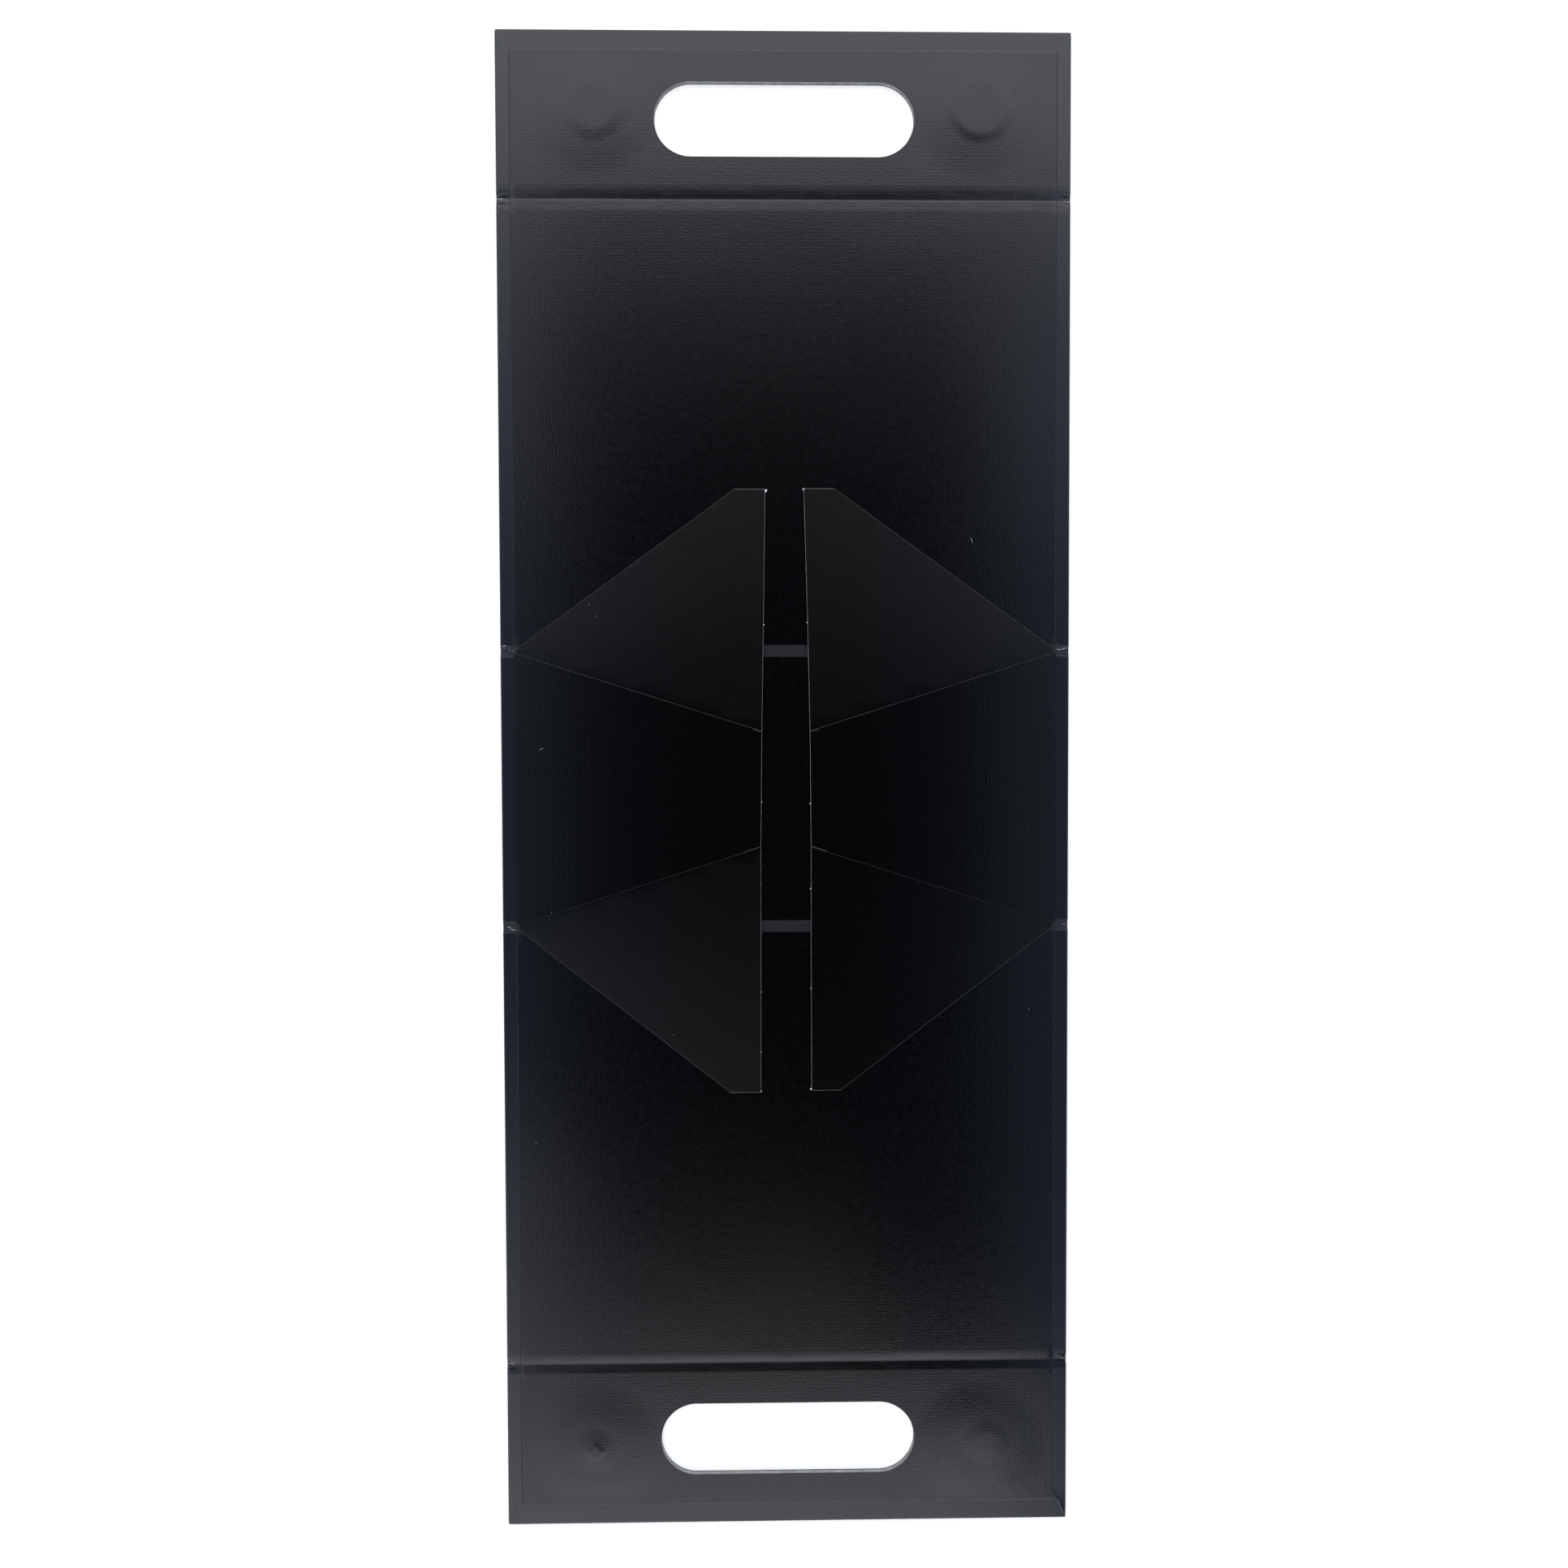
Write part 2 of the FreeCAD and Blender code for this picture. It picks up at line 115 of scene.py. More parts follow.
def addGrain(made, shader, look):
    # woven fibre mottling: two crossed waves and fine noise drive the bump and the roughness
    tree = made.node_tree
    nodes = tree.nodes
    link = tree.links.new
    coords = addNode(nodes, "ShaderNodeTexCoord", (-1300, 0))
    place = coords.outputs["Object"]
    fibre = addNode(nodes, "ShaderNodeTexNoise", (-1050, 200))
    fibre.inputs["Scale"].default_value = look["fibreScale"]
    fibre.inputs["Detail"].default_value = 5
    mottle = addNode(nodes, "ShaderNodeTexNoise", (-1050, -50))
    mottle.inputs["Scale"].default_value = look["mottleScale"]
    mottle.inputs["Detail"].default_value = 3
    heights = [fibre.outputs["Fac"]]
    for direction, shift in (("X", -300), ("Y", -550)):
        weave = addNode(nodes, "ShaderNodeTexWave", (-1050, shift), bands_direction=direction)
        weave.inputs["Scale"].default_value = look["weaveScale"]
        weave.inputs["Distortion"].default_value = look["weaveWander"]
        weave.inputs["Detail"].default_value = 2
        link(place, weave.inputs["Vector"])
        heights.append(weave.outputs["Fac"])
    link(place, fibre.inputs["Vector"])
    link(place, mottle.inputs["Vector"])
    total = heights[0]
    for height in heights[1:]:
        added = addNode(nodes, "ShaderNodeMath", (-800, 0), operation="MULTIPLY_ADD")
        link(height, added.inputs[0])
        added.inputs[1].default_value = look["weaveShare"]
        link(total, added.inputs[2])
        total = added.outputs[0]
    bump = addNode(nodes, "ShaderNodeBump", (-300, -300))
    bump.inputs["Strength"].default_value = look["bump"]
    bump.inputs["Distance"].default_value = look["bumpDepth"]
    link(total, bump.inputs["Height"])
    link(bump.outputs["Normal"], shader.inputs["Normal"])
    spread = addNode(nodes, "ShaderNodeMapRange", (-550, 150))
    spread.inputs["From Min"].default_value = 0.3
    spread.inputs["From Max"].default_value = 0.7
    spread.inputs["To Min"].default_value = look["roughLow"]
    spread.inputs["To Max"].default_value = look["roughHigh"]
    link(mottle.outputs["Fac"], spread.inputs["Value"])
    return spread.outputs["Result"], fibre.outputs["Fac"]


def addRubbedAndLit(made, shader, roughnessFrom, fibreFrom, look):
    # paper pressed into a hinge groove is rubbed and rougher, and its colour is painted lighter: partly
    # rubbed paper, partly a painted highlight where the groove catches light. On the gusset wings the
    # same attribute carries painted sheen and painted shade
    nodes = made.node_tree.nodes
    link = made.node_tree.links.new
    rubbed = addNode(nodes, "ShaderNodeAttribute", (-800, 450), attribute_name="rubbed")
    rougher = addNode(nodes, "ShaderNodeMath", (-300, 150), operation="MULTIPLY_ADD", use_clamp=True)
    link(rubbed.outputs["Fac"], rougher.inputs[0])
    rougher.inputs[1].default_value = look["rubbedRough"]
    link(roughnessFrom, rougher.inputs[2])
    link(rougher.outputs[0], shader.inputs["Roughness"])
    # fine pale fibres, the same tone as the rubbed paper that is painted lighter
    pale = addNode(nodes, "ShaderNodeMapRange", (-800, 650))
    pale.inputs["From Min"].default_value = 0.42
    pale.inputs["From Max"].default_value = 0.68
    pale.inputs["To Max"].default_value = look["fibreShare"]
    link(fibreFrom, pale.inputs["Value"])
    worn = addNode(nodes, "ShaderNodeMath", (-550, 500), operation="ADD", use_clamp=True)
    link(rubbed.outputs["Fac"], worn.inputs[0])
    link(pale.outputs["Result"], worn.inputs[1])
    tone = addNode(nodes, "ShaderNodeMix", (-300, 400), data_type="RGBA")
    link(worn.outputs[0], tone.inputs["Factor"])
    tone.inputs["A"].default_value = (*look["colour"], 1)
    tone.inputs["B"].default_value = (*look["rubbedColour"], 1)
    link(tone.outputs["Result"], shader.inputs["Base Color"])


linerLook = {
    "colour": (0.0003, 0.0005, 0.0009),
    # the rubbed colour is painted lighter than the paper: partly rubbed paper, partly painted highlight
    # where the groove catches light
    "rubbedColour": (0.011, 0.011, 0.0108),
    "rubbedRough": 0.23,
    "fibreScale": 1300.0,
    "fibreShare": 0.22,
    "mottleScale": 420.0,
    "weaveScale": 260.0,
    "weaveWander": 2.0,
    "weaveShare": 0.1,
    "specular": 0.5,
    "bump": 0.36,
    "bumpDepth": 0.07 * mm,
    "roughLow": 0.155,
    "roughHigh": 0.195,
}
wrapLook = {
    **linerLook,
    "specular": 0.56,
    "colour": (0.0022, 0.003, 0.0045),
    # the wrap's rubbed colour too is partly rubbed paper, partly painted highlight
    "rubbedColour": (0.014, 0.015, 0.018),
    "roughLow": 0.205,
    "roughHigh": 0.225,
}
cardLook = {
    **linerLook,
    "colour": (0.0008, 0.001, 0.0013),
    # on the gusset wings the rubbed colour is painted sheen
    "rubbedColour": (0.0036, 0.0034, 0.0033),
    "rubbedRough": 0.088,
    "fibreShare": 0.3,
    "roughLow": 0.165,
    "roughHigh": 0.18,
}


def paperMaterial(name, look, tint):
    made, shader = newMaterial(name, look["colour"], look["roughLow"], look["specular"], tint)
    roughnessFrom, fibreFrom = addGrain(made, shader, look)
    addRubbedAndLit(made, shader, roughnessFrom, fibreFrom, look)
    return made


linerPaper = paperMaterial("liner paper", linerLook, (0.93, 0.92, 1.0))
wrapPaper = paperMaterial("wrap paper", wrapLook, (0.92, 0.92, 1.0))
blackCard = paperMaterial("black card", cardLook, (1.0, 0.965, 1.0))

edgeLook = {
    "paperEdge": (0.016, 0.018, 0.022),
    # the next colour is the same cut paper edge painted lighter, a painted highlight
    "litEdge": (0.1, 0.105, 0.12),
    "cardEdge": (0.2, 0.2, 0.2),
    # the next two colours are painted highlights: pale lines along the raised creases and the rounded
    # folded edges of the gussets
    "foldWear": (0.042, 0.041, 0.043),
    "faintFold": (0.011, 0.011, 0.012),
    "fibre": (0.85, 0.85, 0.84),
    # the pale speck colour serves real specks and also painted highlights at the pinched groove ends
    "speck": (0.42, 0.43, 0.44),
    "board": (0.5, 0.49, 0.47),
    "nickel": (0.62, 0.6, 0.57),
}


def speckledMaterial(name, colour, roughness, grain, spreadBy, metallic=0.0):
    # a plain finish broken up by fine noise in its colour and bump
    made, shader = newMaterial(name, colour, roughness, 0.3, metallic=metallic)
    nodes = made.node_tree.nodes
    link = made.node_tree.links.new
    coords = addNode(nodes, "ShaderNodeTexCoord", (-900, 0))
    speck = addNode(nodes, "ShaderNodeTexNoise", (-700, 0))
    speck.inputs["Scale"].default_value = grain
    speck.inputs["Detail"].default_value = 6
    link(coords.outputs["Object"], speck.inputs["Vector"])
    tone = addNode(nodes, "ShaderNodeValToRGB", (-450, 100))
    tone.color_ramp.elements[0].position = 0.3
    tone.color_ramp.elements[1].position = 0.7
    tone.color_ramp.elements[0].color = (*[c * (1 - spreadBy) for c in colour], 1)
    tone.color_ramp.elements[1].color = (*[min(1, c * (1 + spreadBy)) for c in colour], 1)
    link(speck.outputs["Fac"], tone.inputs["Fac"])
    link(tone.outputs["Color"], shader.inputs["Base Color"])
    bump = addNode(nodes, "ShaderNodeBump", (-300, -250))
    bump.inputs["Strength"].default_value = 0.3
    bump.inputs["Distance"].default_value = 0.1 * mm
    link(speck.outputs["Fac"], bump.inputs["Height"])
    link(bump.outputs["Normal"], shader.inputs["Normal"])
    return made


paperEdge = speckledMaterial("cut paper edge", edgeLook["paperEdge"], 0.6, 600, 0.1)
litEdge = speckledMaterial("cut paper end edge", edgeLook["litEdge"], 0.6, 600, 0.1)
cardEdge = speckledMaterial("cut card edge", edgeLook["cardEdge"], 0.75, 500, 0.4)
foldWear = speckledMaterial("worn fold", edgeLook["foldWear"], 0.6, 700, 0.5)
faintFold = speckledMaterial("faint fold", edgeLook["faintFold"], 0.6, 700, 0.3)
tornFibre = speckledMaterial("torn fibre", edgeLook["fibre"], 0.9, 900, 0.1)
speckAndHighlight = speckledMaterial("pale speck", edgeLook["speck"], 0.9, 900, 0.1)
greyboard = speckledMaterial("greyboard", edgeLook["board"], 0.9, 350, 0.22)
nickelPlate = speckledMaterial("nickel plate", edgeLook["nickel"], 0.3, 200, 0.05, metallic=1.0)
print("materials made")


# Mesh helpers
def sheetGrid(left, right, near, far, step, stepAlong=None):
    bm = bmesh.new()
    across = max(1, round((right - left) / step))
    along = max(1, round((far - near) / (stepAlong or step)))
    bmesh.ops.create_grid(bm, x_segments=across, y_segments=along, size=0.5)
    bmesh.ops.scale(bm, vec=(right - left, far - near, 1), verts=bm.verts)
    bmesh.ops.translate(bm, vec=((left + right) / 2, (near + far) / 2, 0), verts=bm.verts)
    return bm


def cutAt(bm, normal, point, faces=None):
    # cuts the whole mesh, or only the given faces, along a plane
    parts = bm.verts[:] + bm.edges[:] + bm.faces[:]
    if faces is not None:
        parts = list(dict.fromkeys(g for f in faces for g in (*f.verts, *f.edges, f)))
    return bmesh.ops.bisect_plane(bm, geom=parts, dist=1e-7, plane_co=point, plane_no=normal)


def turnHalfRound(bm):
    # side B is side A turned half way round about Z
    bmesh.ops.rotate(bm, cent=(0, 0, 0), matrix=Matrix.Rotation(math.pi, 3, "Z"), verts=bm.verts)


def addPiece(name, bm, materials, turned=False):
    if turned:
        turnHalfRound(bm)
    mesh = bpy.data.meshes.new(name)
    bm.to_mesh(mesh)
    bm.free()
    for material in materials:
        mesh.materials.append(material)
    piece = bpy.data.objects.new(name, mesh)
    bpy.context.scene.collection.objects.link(piece)
    return piece


def thicken(piece, thickness, even=True):
    # downwards, so that the top stays in its place
    solid = piece.modifiers.new("Thickness", "SOLIDIFY")
    solid.thickness = thickness
    solid.offset = -1
    solid.use_even_offset = even


def applyModifiers(piece):
    graph = bpy.context.evaluated_depsgraph_get()
    graph.update()
    made = bpy.data.meshes.new_from_object(
        piece.evaluated_get(graph), preserve_all_data_layers=True, depsgraph=graph
    )
    piece.modifiers.clear()
    piece.data = made


def smoothPiece(piece, sharpDegrees=40):
    piece.data.polygons.foreach_set("use_smooth", [True] * len(piece.data.polygons))
    piece.data.set_sharp_from_angle(angle=math.radians(sharpDegrees))


def flattenShading(piece):
    # large flat faces keep their own normal beside small rounded ones
    weighted = piece.modifiers.new("Normals", "WEIGHTED_NORMAL")
    weighted.keep_sharp = True
    weighted.weight = 60


def markRubbedAndLit(piece, share):
    # share(x, y) goes to the attribute that makes the paper rougher and paints it lighter: painted
    # highlight in the grooves, painted sheen on the wings
    layer = piece.data.attributes.new("rubbed", "FLOAT", "POINT")
    layer.data.foreach_set("value", [share(v.co.x, v.co.y) for v in piece.data.vertices])


# Hand holes
holeShape = {
    "halfLong": 47.5 * mm,
    "halfWide": 13.5 * mm,
    "fromHinge": 29 * mm,
    "roundSteps": 72,
    "wrapInward": 0.1 * mm,  # the wrap stands this far into the hole
    "boardOutward": 0.05 * mm,
    "cutterLow": -4 * mm,
    "cutterDeep": 12 * mm,
}


def holeCutter(grow):
    radius = holeShape["halfWide"] + grow
    halfStep = Matrix.Rotation(math.pi / holeShape["roundSteps"], 3, "Z")
    bm = bmesh.new()
    bmesh.ops.create_circle(bm, cap_ends=True, radius=radius, segments=holeShape["roundSteps"])
    bmesh.ops.rotate(bm, cent=(0, 0, 0), matrix=halfStep, verts=bm.verts)
    straight = holeShape["halfLong"] - holeShape["halfWide"]
    for v in bm.verts:
        v.co.x += math.copysign(straight, v.co.x)
        v.co.y += lines["handleHinge"] + holeShape["fromHinge"]
        v.co.z += holeShape["cutterLow"]
    raised = bmesh.ops.extrude_face_region(bm, geom=bm.faces[:])
    tops = [g for g in raised["geom"] if isinstance(g, bmesh.types.BMVert)]
    bmesh.ops.translate(bm, vec=(0, 0, holeShape["cutterDeep"]), verts=tops)
    bmesh.ops.recalc_face_normals(bm, faces=bm.faces)
    return bm


def cutHole(piece, turned, grow=0.0):
    cutter = addPiece(piece.name + "_cutter", holeCutter(grow), [], turned)
    cut = piece.modifiers.new("Hole", "BOOLEAN")
    cut.operation = "DIFFERENCE"
    cut.solver = "EXACT"
    cut.object = cutter
    applyModifiers(piece)
    bpy.data.objects.remove(cutter)


# Hinge grooves, in millimetres: how far the paper drops at each distance from the hinge line
# (positive is away from the middle of the box), and how far to each side it is rubbed and painted
# lighter as a painted highlight
grooves = {
    "base": {
        "drops": [(-2.35, 0), (-1.95, 0.07), (1.95, 0.07), (2.35, 0)],
        "rubbed": 2.0,
        "soft": 0.25,
    },
    "handleA": {
        "drops": [
            (-4.3, 0), (-3.6, 0.005), (-0.4, 0.085), (0, 0.2),
            (1.0, 0.145), (2.2, 0.08), (3.6, 0.025), (5.2, 0),
        ],
        "rubbed": 0.1,
        "soft": 0.3,
    },
    "handleB": {
        "drops": [(-3.6, 0), (-2.4, 0.025), (-1.2, 0.08), (0, 0.19), (3.4, 0)],
        "rubbed": 0.1,
        "soft": 0.3,
    },
}
grooveRough = {
    "wrinkle": 0.03 * mm,
    "wrinkleSize": 9 * mm,
    "fullDrop": 0.1 * mm,  # wrinkles are full where the paper drops this far
    "step": 0.25 * mm,
    "sharpAngle": 30,
}


def grooveDrop(off, groove):
    # straight lines between the measured drops
    points = groove["drops"]
    for (left, leftDrop), (right, rightDrop) in zip(points, points[1:]):
        if left <= off / mm <= right:
            share = (off / mm - left) / (right - left)
            return (leftDrop + (rightDrop - leftDrop) * share) * mm
    return 0.0


def grooveRubAndLight(off, groove):
    return 1 - smoothStep(groove["rubbed"] * mm, (groove["rubbed"] + groove["soft"]) * mm, abs(off))


# Flecks: specks, short scratches, torn bits and painted highlights, small flat tufts that sit on their
# sheet
fleckShape = {"flat": 0.06 * mm, "sunk": 0.02 * mm, "ragged": 0.5, "raggedSize": 0.4 * mm}


def addFleck(bm, place, long, wide, turn, material):
    size = Matrix.Diagonal((long / 2, wide / 2, min(wide, fleckShape["flat"]))).to_4x4()
    matrix = Matrix.Translation(place) @ Matrix.Rotation(math.radians(turn), 4, "Z") @ size
    tuft = bmesh.ops.create_icosphere(bm, subdivisions=2, radius=1, matrix=matrix)
    for v in tuft["verts"]:
        off = v.co - place
        torn = rough(v.co.x + v.co.z, v.co.y, fleckShape["raggedSize"], 2)
        v.co = place + off * (1 + fleckShape["ragged"] * torn)
        for face in v.link_faces:
            face.material_index = material


def addFlecks(piece, flecks, height, material):
    # flecks: x, y, length, width in millimetres, and the turn in degrees
    bm = bmesh.new()
    bm.from_mesh(piece.data)
    for x, y, long, wide, turn in flecks:
        place = Vector((x * mm, y * mm, height - fleckShape["sunk"]))
        addFleck(bm, place, long * mm, wide * mm, turn, material)
    bm.to_mesh(piece.data)
    bm.free()


# Outer wrap: a sleeve of paper round the boards, turned in along the edges
wrapShape = {
    "turnIn": 12 * mm,
    "edgeRound": 0.75 * mm,
    "cornerRound": 0.9 * mm,
    "roundSteps": 4,
    "mitreLift": 0.12 * mm,
    "mitreLap": 0.2 * mm,
    "mitreEdge": 0.7 * mm,
    "mitreTurn": 25,
    "palePaper": 0.16 * mm,  # width of the pale cut edge before it laps
    "paleReach": 7.4 * mm,
    "paleMitres": {"handle_a_outer": (-1, 1), "handle_b_outer": (-1,)},  # -1 and 1 are the sides in X
}


def edgesAlong(bm, axis, test):
    found = []
    for edge in bm.edges:
        span = edge.verts[1].co - edge.verts[0].co
        if abs(span[axis]) > 0.9 * span.length and test((edge.verts[0].co + edge.verts[1].co) / 2):
            found.append(edge)
    return found


def roundEdges(bm, edges, radius):
    bmesh.ops.bevel(
        bm, geom=edges, offset=radius, offset_type="OFFSET", segments=wrapShape["roundSteps"],
        profile=0.5, affect="EDGES", material=-1, clamp_overlap=True,
    )


def wrapSleeve(near, far, closedEnd):
    half = lines["halfWide"]
    top = lines["wrapTop"]
    inner = half - wrapShape["turnIn"]
    bm = bmesh.new()
    bmesh.ops.create_cube(bm, size=1)
    bmesh.ops.scale(bm, vec=(2 * half, far - near, top), verts=bm.verts)
    bmesh.ops.translate(bm, vec=(0, (near + far) / 2, top / 2), verts=bm.verts)
    if closedEnd:
        roundEdges(bm, edgesAlong(bm, 2, lambda c: c.y > far - mm), wrapShape["cornerRound"])
    ends = [f for f in bm.faces if abs(f.normal.y) > 0.99 and f.calc_center_median().y < near + mm]
    if not closedEnd:
        ends = [f for f in bm.faces if abs(f.normal.y) > 0.99]
    bmesh.ops.delete(bm, geom=ends, context="FACES_ONLY")
    loops = [e for e in bm.edges if not e.is_boundary and abs(e.calc_face_angle(0)) > 1.0]
    loops = [e for e in loops if abs(e.verts[0].co.z - e.verts[1].co.z) < 0.1 * mm]
    roundEdges(bm, loops, wrapShape["edgeRound"])
    for side in (-1, 1):
        cutAt(bm, Vector((1, 0, 0)), Vector((side * inner, 0, 0)))
    if closedEnd:
        cutAt(bm, Vector((0, 1, 0)), Vector((0, far - wrapShape["turnIn"], 0)))
    limit = far - wrapShape["turnIn"] if closedEnd else far + mm
    middle = []
    for face in bm.faces:
        centre = face.calc_center_median()
        if centre.z > top - 0.01 * mm and abs(centre.x) < inner and centre.y < limit:
            middle.append(face)
    bmesh.ops.delete(bm, geom=middle, context="FACES")
    return bm


def foldMitres(bm, far, paleSides):
    # at each outer corner the side flap laps over the end flap along a slanting line
    half = lines["halfWide"]
    top = lines["wrapTop"]
    for side in (-1, 1):
        corner = Vector((side * half, far, 0))
        turn = math.radians(wrapShape["mitreTurn"])
        normal = Vector((side * math.cos(turn), -math.sin(turn), 0))
        flaps = []
        for face in bm.faces:
            centre = face.calc_center_median()
            atCorner = side * centre.x > half - wrapShape["turnIn"] - mm
            atCorner = atCorner and centre.y > far - wrapShape["turnIn"] - mm
            if atCorner and centre.z > top - 0.3 * mm:
                flaps.append(face)
        cut = cutAt(bm, normal, corner, flaps)
        seam = [g for g in cut["geom_cut"] if isinstance(g, bmesh.types.BMEdge)]
        seam = [e for e in seam if all(v.co.z > top - 0.05 * mm for v in e.verts)]
        bmesh.ops.split_edges(bm, edges=seam)
        for reach in (wrapShape["palePaper"], wrapShape["mitreEdge"]):
            upper = [f for f in bm.faces if f.calc_center_median().z > top - 0.3 * mm]
            cutAt(bm, normal, corner + normal * reach, upper)
        lapped = set()
        for face in bm.faces:
            centre = face.calc_center_median()
            off = (centre - corner).dot(normal)
            if centre.z < top - 0.05 * mm or off < 0 or side * centre.x < 0:
                continue
            atSeam = off < wrapShape["palePaper"] and centre.y > far - wrapShape["paleReach"]
            if atSeam and side in paleSides:
                # the pale strip of cut edge at the mitre is painted lighter, a painted highlight
                face.material_index = 1
            lapped.update(v for v in face.verts if v.co.z > top - 0.02 * mm)
        for v in lapped:
            off = (v.co - corner).dot(normal)
            if abs(off) < 1e-6:
                v.co -= normal * wrapShape["mitreLap"]
                v.co.z += wrapShape["mitreLift"]
            elif abs(off - wrapShape["palePaper"]) < 1e-6:
                v.co.z += wrapShape["mitreLift"] * (1 - wrapShape["palePaper"] / wrapShape["mitreEdge"])


def wrapPanel(name, body, near, far, closedEnd=False, turned=False):
    bm = wrapSleeve(near, far, closedEnd)
    if closedEnd:
        cutAt(bm, Vector((0, 1, 0)), Vector((0, far - wrapShape["paleReach"], 0)))
        foldMitres(bm, far, wrapShape["paleMitres"][name])
    piece = addPiece(name, bm, [wrapPaper, litEdge], turned)
    thicken(piece, paperThick)
    if closedEnd:
        cutHole(piece, turned, -holeShape["wrapInward"])
    else:
        applyModifiers(piece)
    smoothPiece(piece)
    flattenShading(piece)
    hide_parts(name.replace("_outer", "_wrap"))
    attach(piece, body)


pinchShape = {
    "inset": 0.1 * mm,
    "crush": 0.22 * mm,
    "creaseSize": 1.3 * mm,
    "columns": 10,
    "full": 0.6 * mm,
    "reach": 3.2 * mm,
    "deepen": 1.3,
    "fleckSunk": 0.1 * mm,
}
# Painted highlights where the wrap is crumpled and pinched at the ends of the grooves, written as pale
# flecks
pinchHighlights = {
    "base_a": [
        (-103.4, 52.9, 1.8, 0.4, 12), (-102.4, 51.6, 2.8, 0.35, -16), (-99.8, 51.0, 2.2, 0.35, -6),
        (103.2, 51.7, 2.2, 0.4, 10), (101.2, 51.2, 2.4, 0.35, -4),
    ],
    "base_b": [
        (103.0, 50.9, 2.6, 0.4, 5), (101.2, 51.8, 2.2, 0.35, -14), (-103.0, 50.9, 2.0, 0.25, 8),
    ],
    "handle_a": [(-103.2, 215.0, 2.4, 0.3, 3), (103.4, 214.8, 2.0, 0.3, -4)],
    "handle_b": [(103.2, 214.6, 2.2, 0.3, 4), (-103.4, 214.8, 1.6, 0.25, -5)],
}


def bendStrip(piece, hinge, bodies):
    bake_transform(piece)


def wrapHinge(name, hinge, bodies, groove, turned):
    # the wrap alone spans the gap between two boards; its turned-in ends are pinched into the groove
    near = hinge - stripReach
    far = hinge + stripReach
    bm = wrapSleeve(near, far, False)
    stations = round((far - near) / grooveRough["step"])
    for index in range(1, stations):
        y = near + (far - near) * index / stations
        cutAt(bm, Vector((0, 1, 0)), Vector((0, y, 0)))
    inner = lines["halfWide"] - wrapShape["turnIn"]
    for index in range(1, pinchShape["columns"]):
        for side in (-1, 1):
            x = side * (inner + wrapShape["turnIn"] * index / pinchShape["columns"])
            cutAt(bm, Vector((1, 0, 0)), Vector((x, 0, 0)))
    for v in bm.verts:
        off = v.co.y - hinge
        depth = 1 - smoothStep(pinchShape["full"], pinchShape["reach"], abs(off))
        outward = smoothStep(inner, lines["halfWide"], abs(v.co.x))
        height = v.co.z / lines["wrapTop"]
        crumple = rough(v.co.x, v.co.y, pinchShape["creaseSize"], 3 + hinge)
        v.co.x -= math.copysign(pinchShape["inset"] * depth * outward ** 3, v.co.x)
        v.co.z -= height * grooveDrop(off, groove) * pinchShape["deepen"]
        v.co.z += height * depth * outward * pinchShape["crush"] * crumple
    piece = addPiece(name, bm, [wrapPaper, speckAndHighlight], turned)
    thicken(piece, stripThick)
    applyModifiers(piece)
    sign = -1 if turned else 1
    place = name.replace("_hinge", "").replace("_web", "")
    flecks = [(sign * x, sign * y, *rest) for x, y, *rest in pinchHighlights[place]]
    # the pinch flecks take the pale speck colour as painted highlights
    addFlecks(piece, flecks, lines["wrapTop"] - pinchShape["fleckSunk"], 1)
    markRubbedAndLit(piece, lambda x, y: grooveRubAndLight(abs(y) - hinge, groove))
    smoothPiece(piece, grooveRough["sharpAngle"])
    bendStrip(piece, hinge, bodies)


# Liner: a sheet over the boards, with cut edges that show as thin pale lines; the end edges are painted
# lighter still, as a painted highlight
linerShape = {
    "edge": 0.3 * mm,
    "edgeDrop": 0.5,  # of the paper's thickness
    "wave": 0.05 * mm,
    "waveSize": 38 * mm,
    "waveFade": 12 * mm,
    "handleStep": 0.7 * mm,
    "panelStep": 6 * mm,
    "stripStep": 2 * mm,
    "sharpAngle": 11,
}
linerFinishes = {"face": 0, "sideEdge": 1, "endEdge": 2, "speck": 3}
linerFlecks = {
    "wall_a_lining": [(68.7, 91.5, 2.4, 0.2, -70)],
    "wall_b_lining": [(90.2, -82.5, 0.45, 0.35, 0), (-93.3, -131.2, 0.5, 0.3, 20)],
}

# Magnet marks, in millimetres from the middle of the box, in their own side's frame: a plateau
# with a soft rim, on one with a small diamond on top
magnetMarks = {
    "a": [
        {"x": 71.9, "y": 248.6, "radius": 8.8, "soft": 4.6, "rise": 0.14, "diamond": 0.0},
        {"x": -69.6, "y": 248.6, "radius": 7.4, "soft": 6.0, "rise": 0.11, "diamond": 0.0},
    ],
    "b": [
        {"x": 72.0, "y": 248.4, "radius": 2.0, "soft": 7.5, "rise": 0.14, "diamond": 0.1},
        {"x": -74.5, "y": 246.5, "radius": 2.5, "soft": 7.0, "rise": 0.1, "diamond": 0.0},
    ],
}
# Over each magnet the sheet swells, low and wide, and lies flat again at its end; in millimetres
swellShape = {
    "a": 0.22,
    "b": 0.24,
    "flat": 8.5,
    "reach": 27.0,
    "diamondHalf": 3.0,
    "diamondSoft": 0.9,
    "end": 8.0,
}


def magnetRise(x, y, marks, magnets, swell):
    total = 0.0
    for mark in marks:
        dx = x / mm - mark["x"]
        dy = y / mm - mark["y"]
        rim = math.hypot(dx, dy) - mark["radius"]
        total += mark["rise"] * (1 - smoothStep(0, mark["soft"], rim))
        corner = abs(dx) + abs(dy) - swellShape["diamondHalf"]
        total += mark["diamond"] * (1 - smoothStep(0, swellShape["diamondSoft"], corner))
    for magnet in magnets:
        reach = math.hypot(x - magnet.x, y - magnet.y) / mm
        total += swell * (1 - smoothStep(swellShape["flat"], swellShape["reach"], reach))
    return total * smoothStep(0, swellShape["end"] * mm, lines["linerEnd"] - abs(y)) * mm


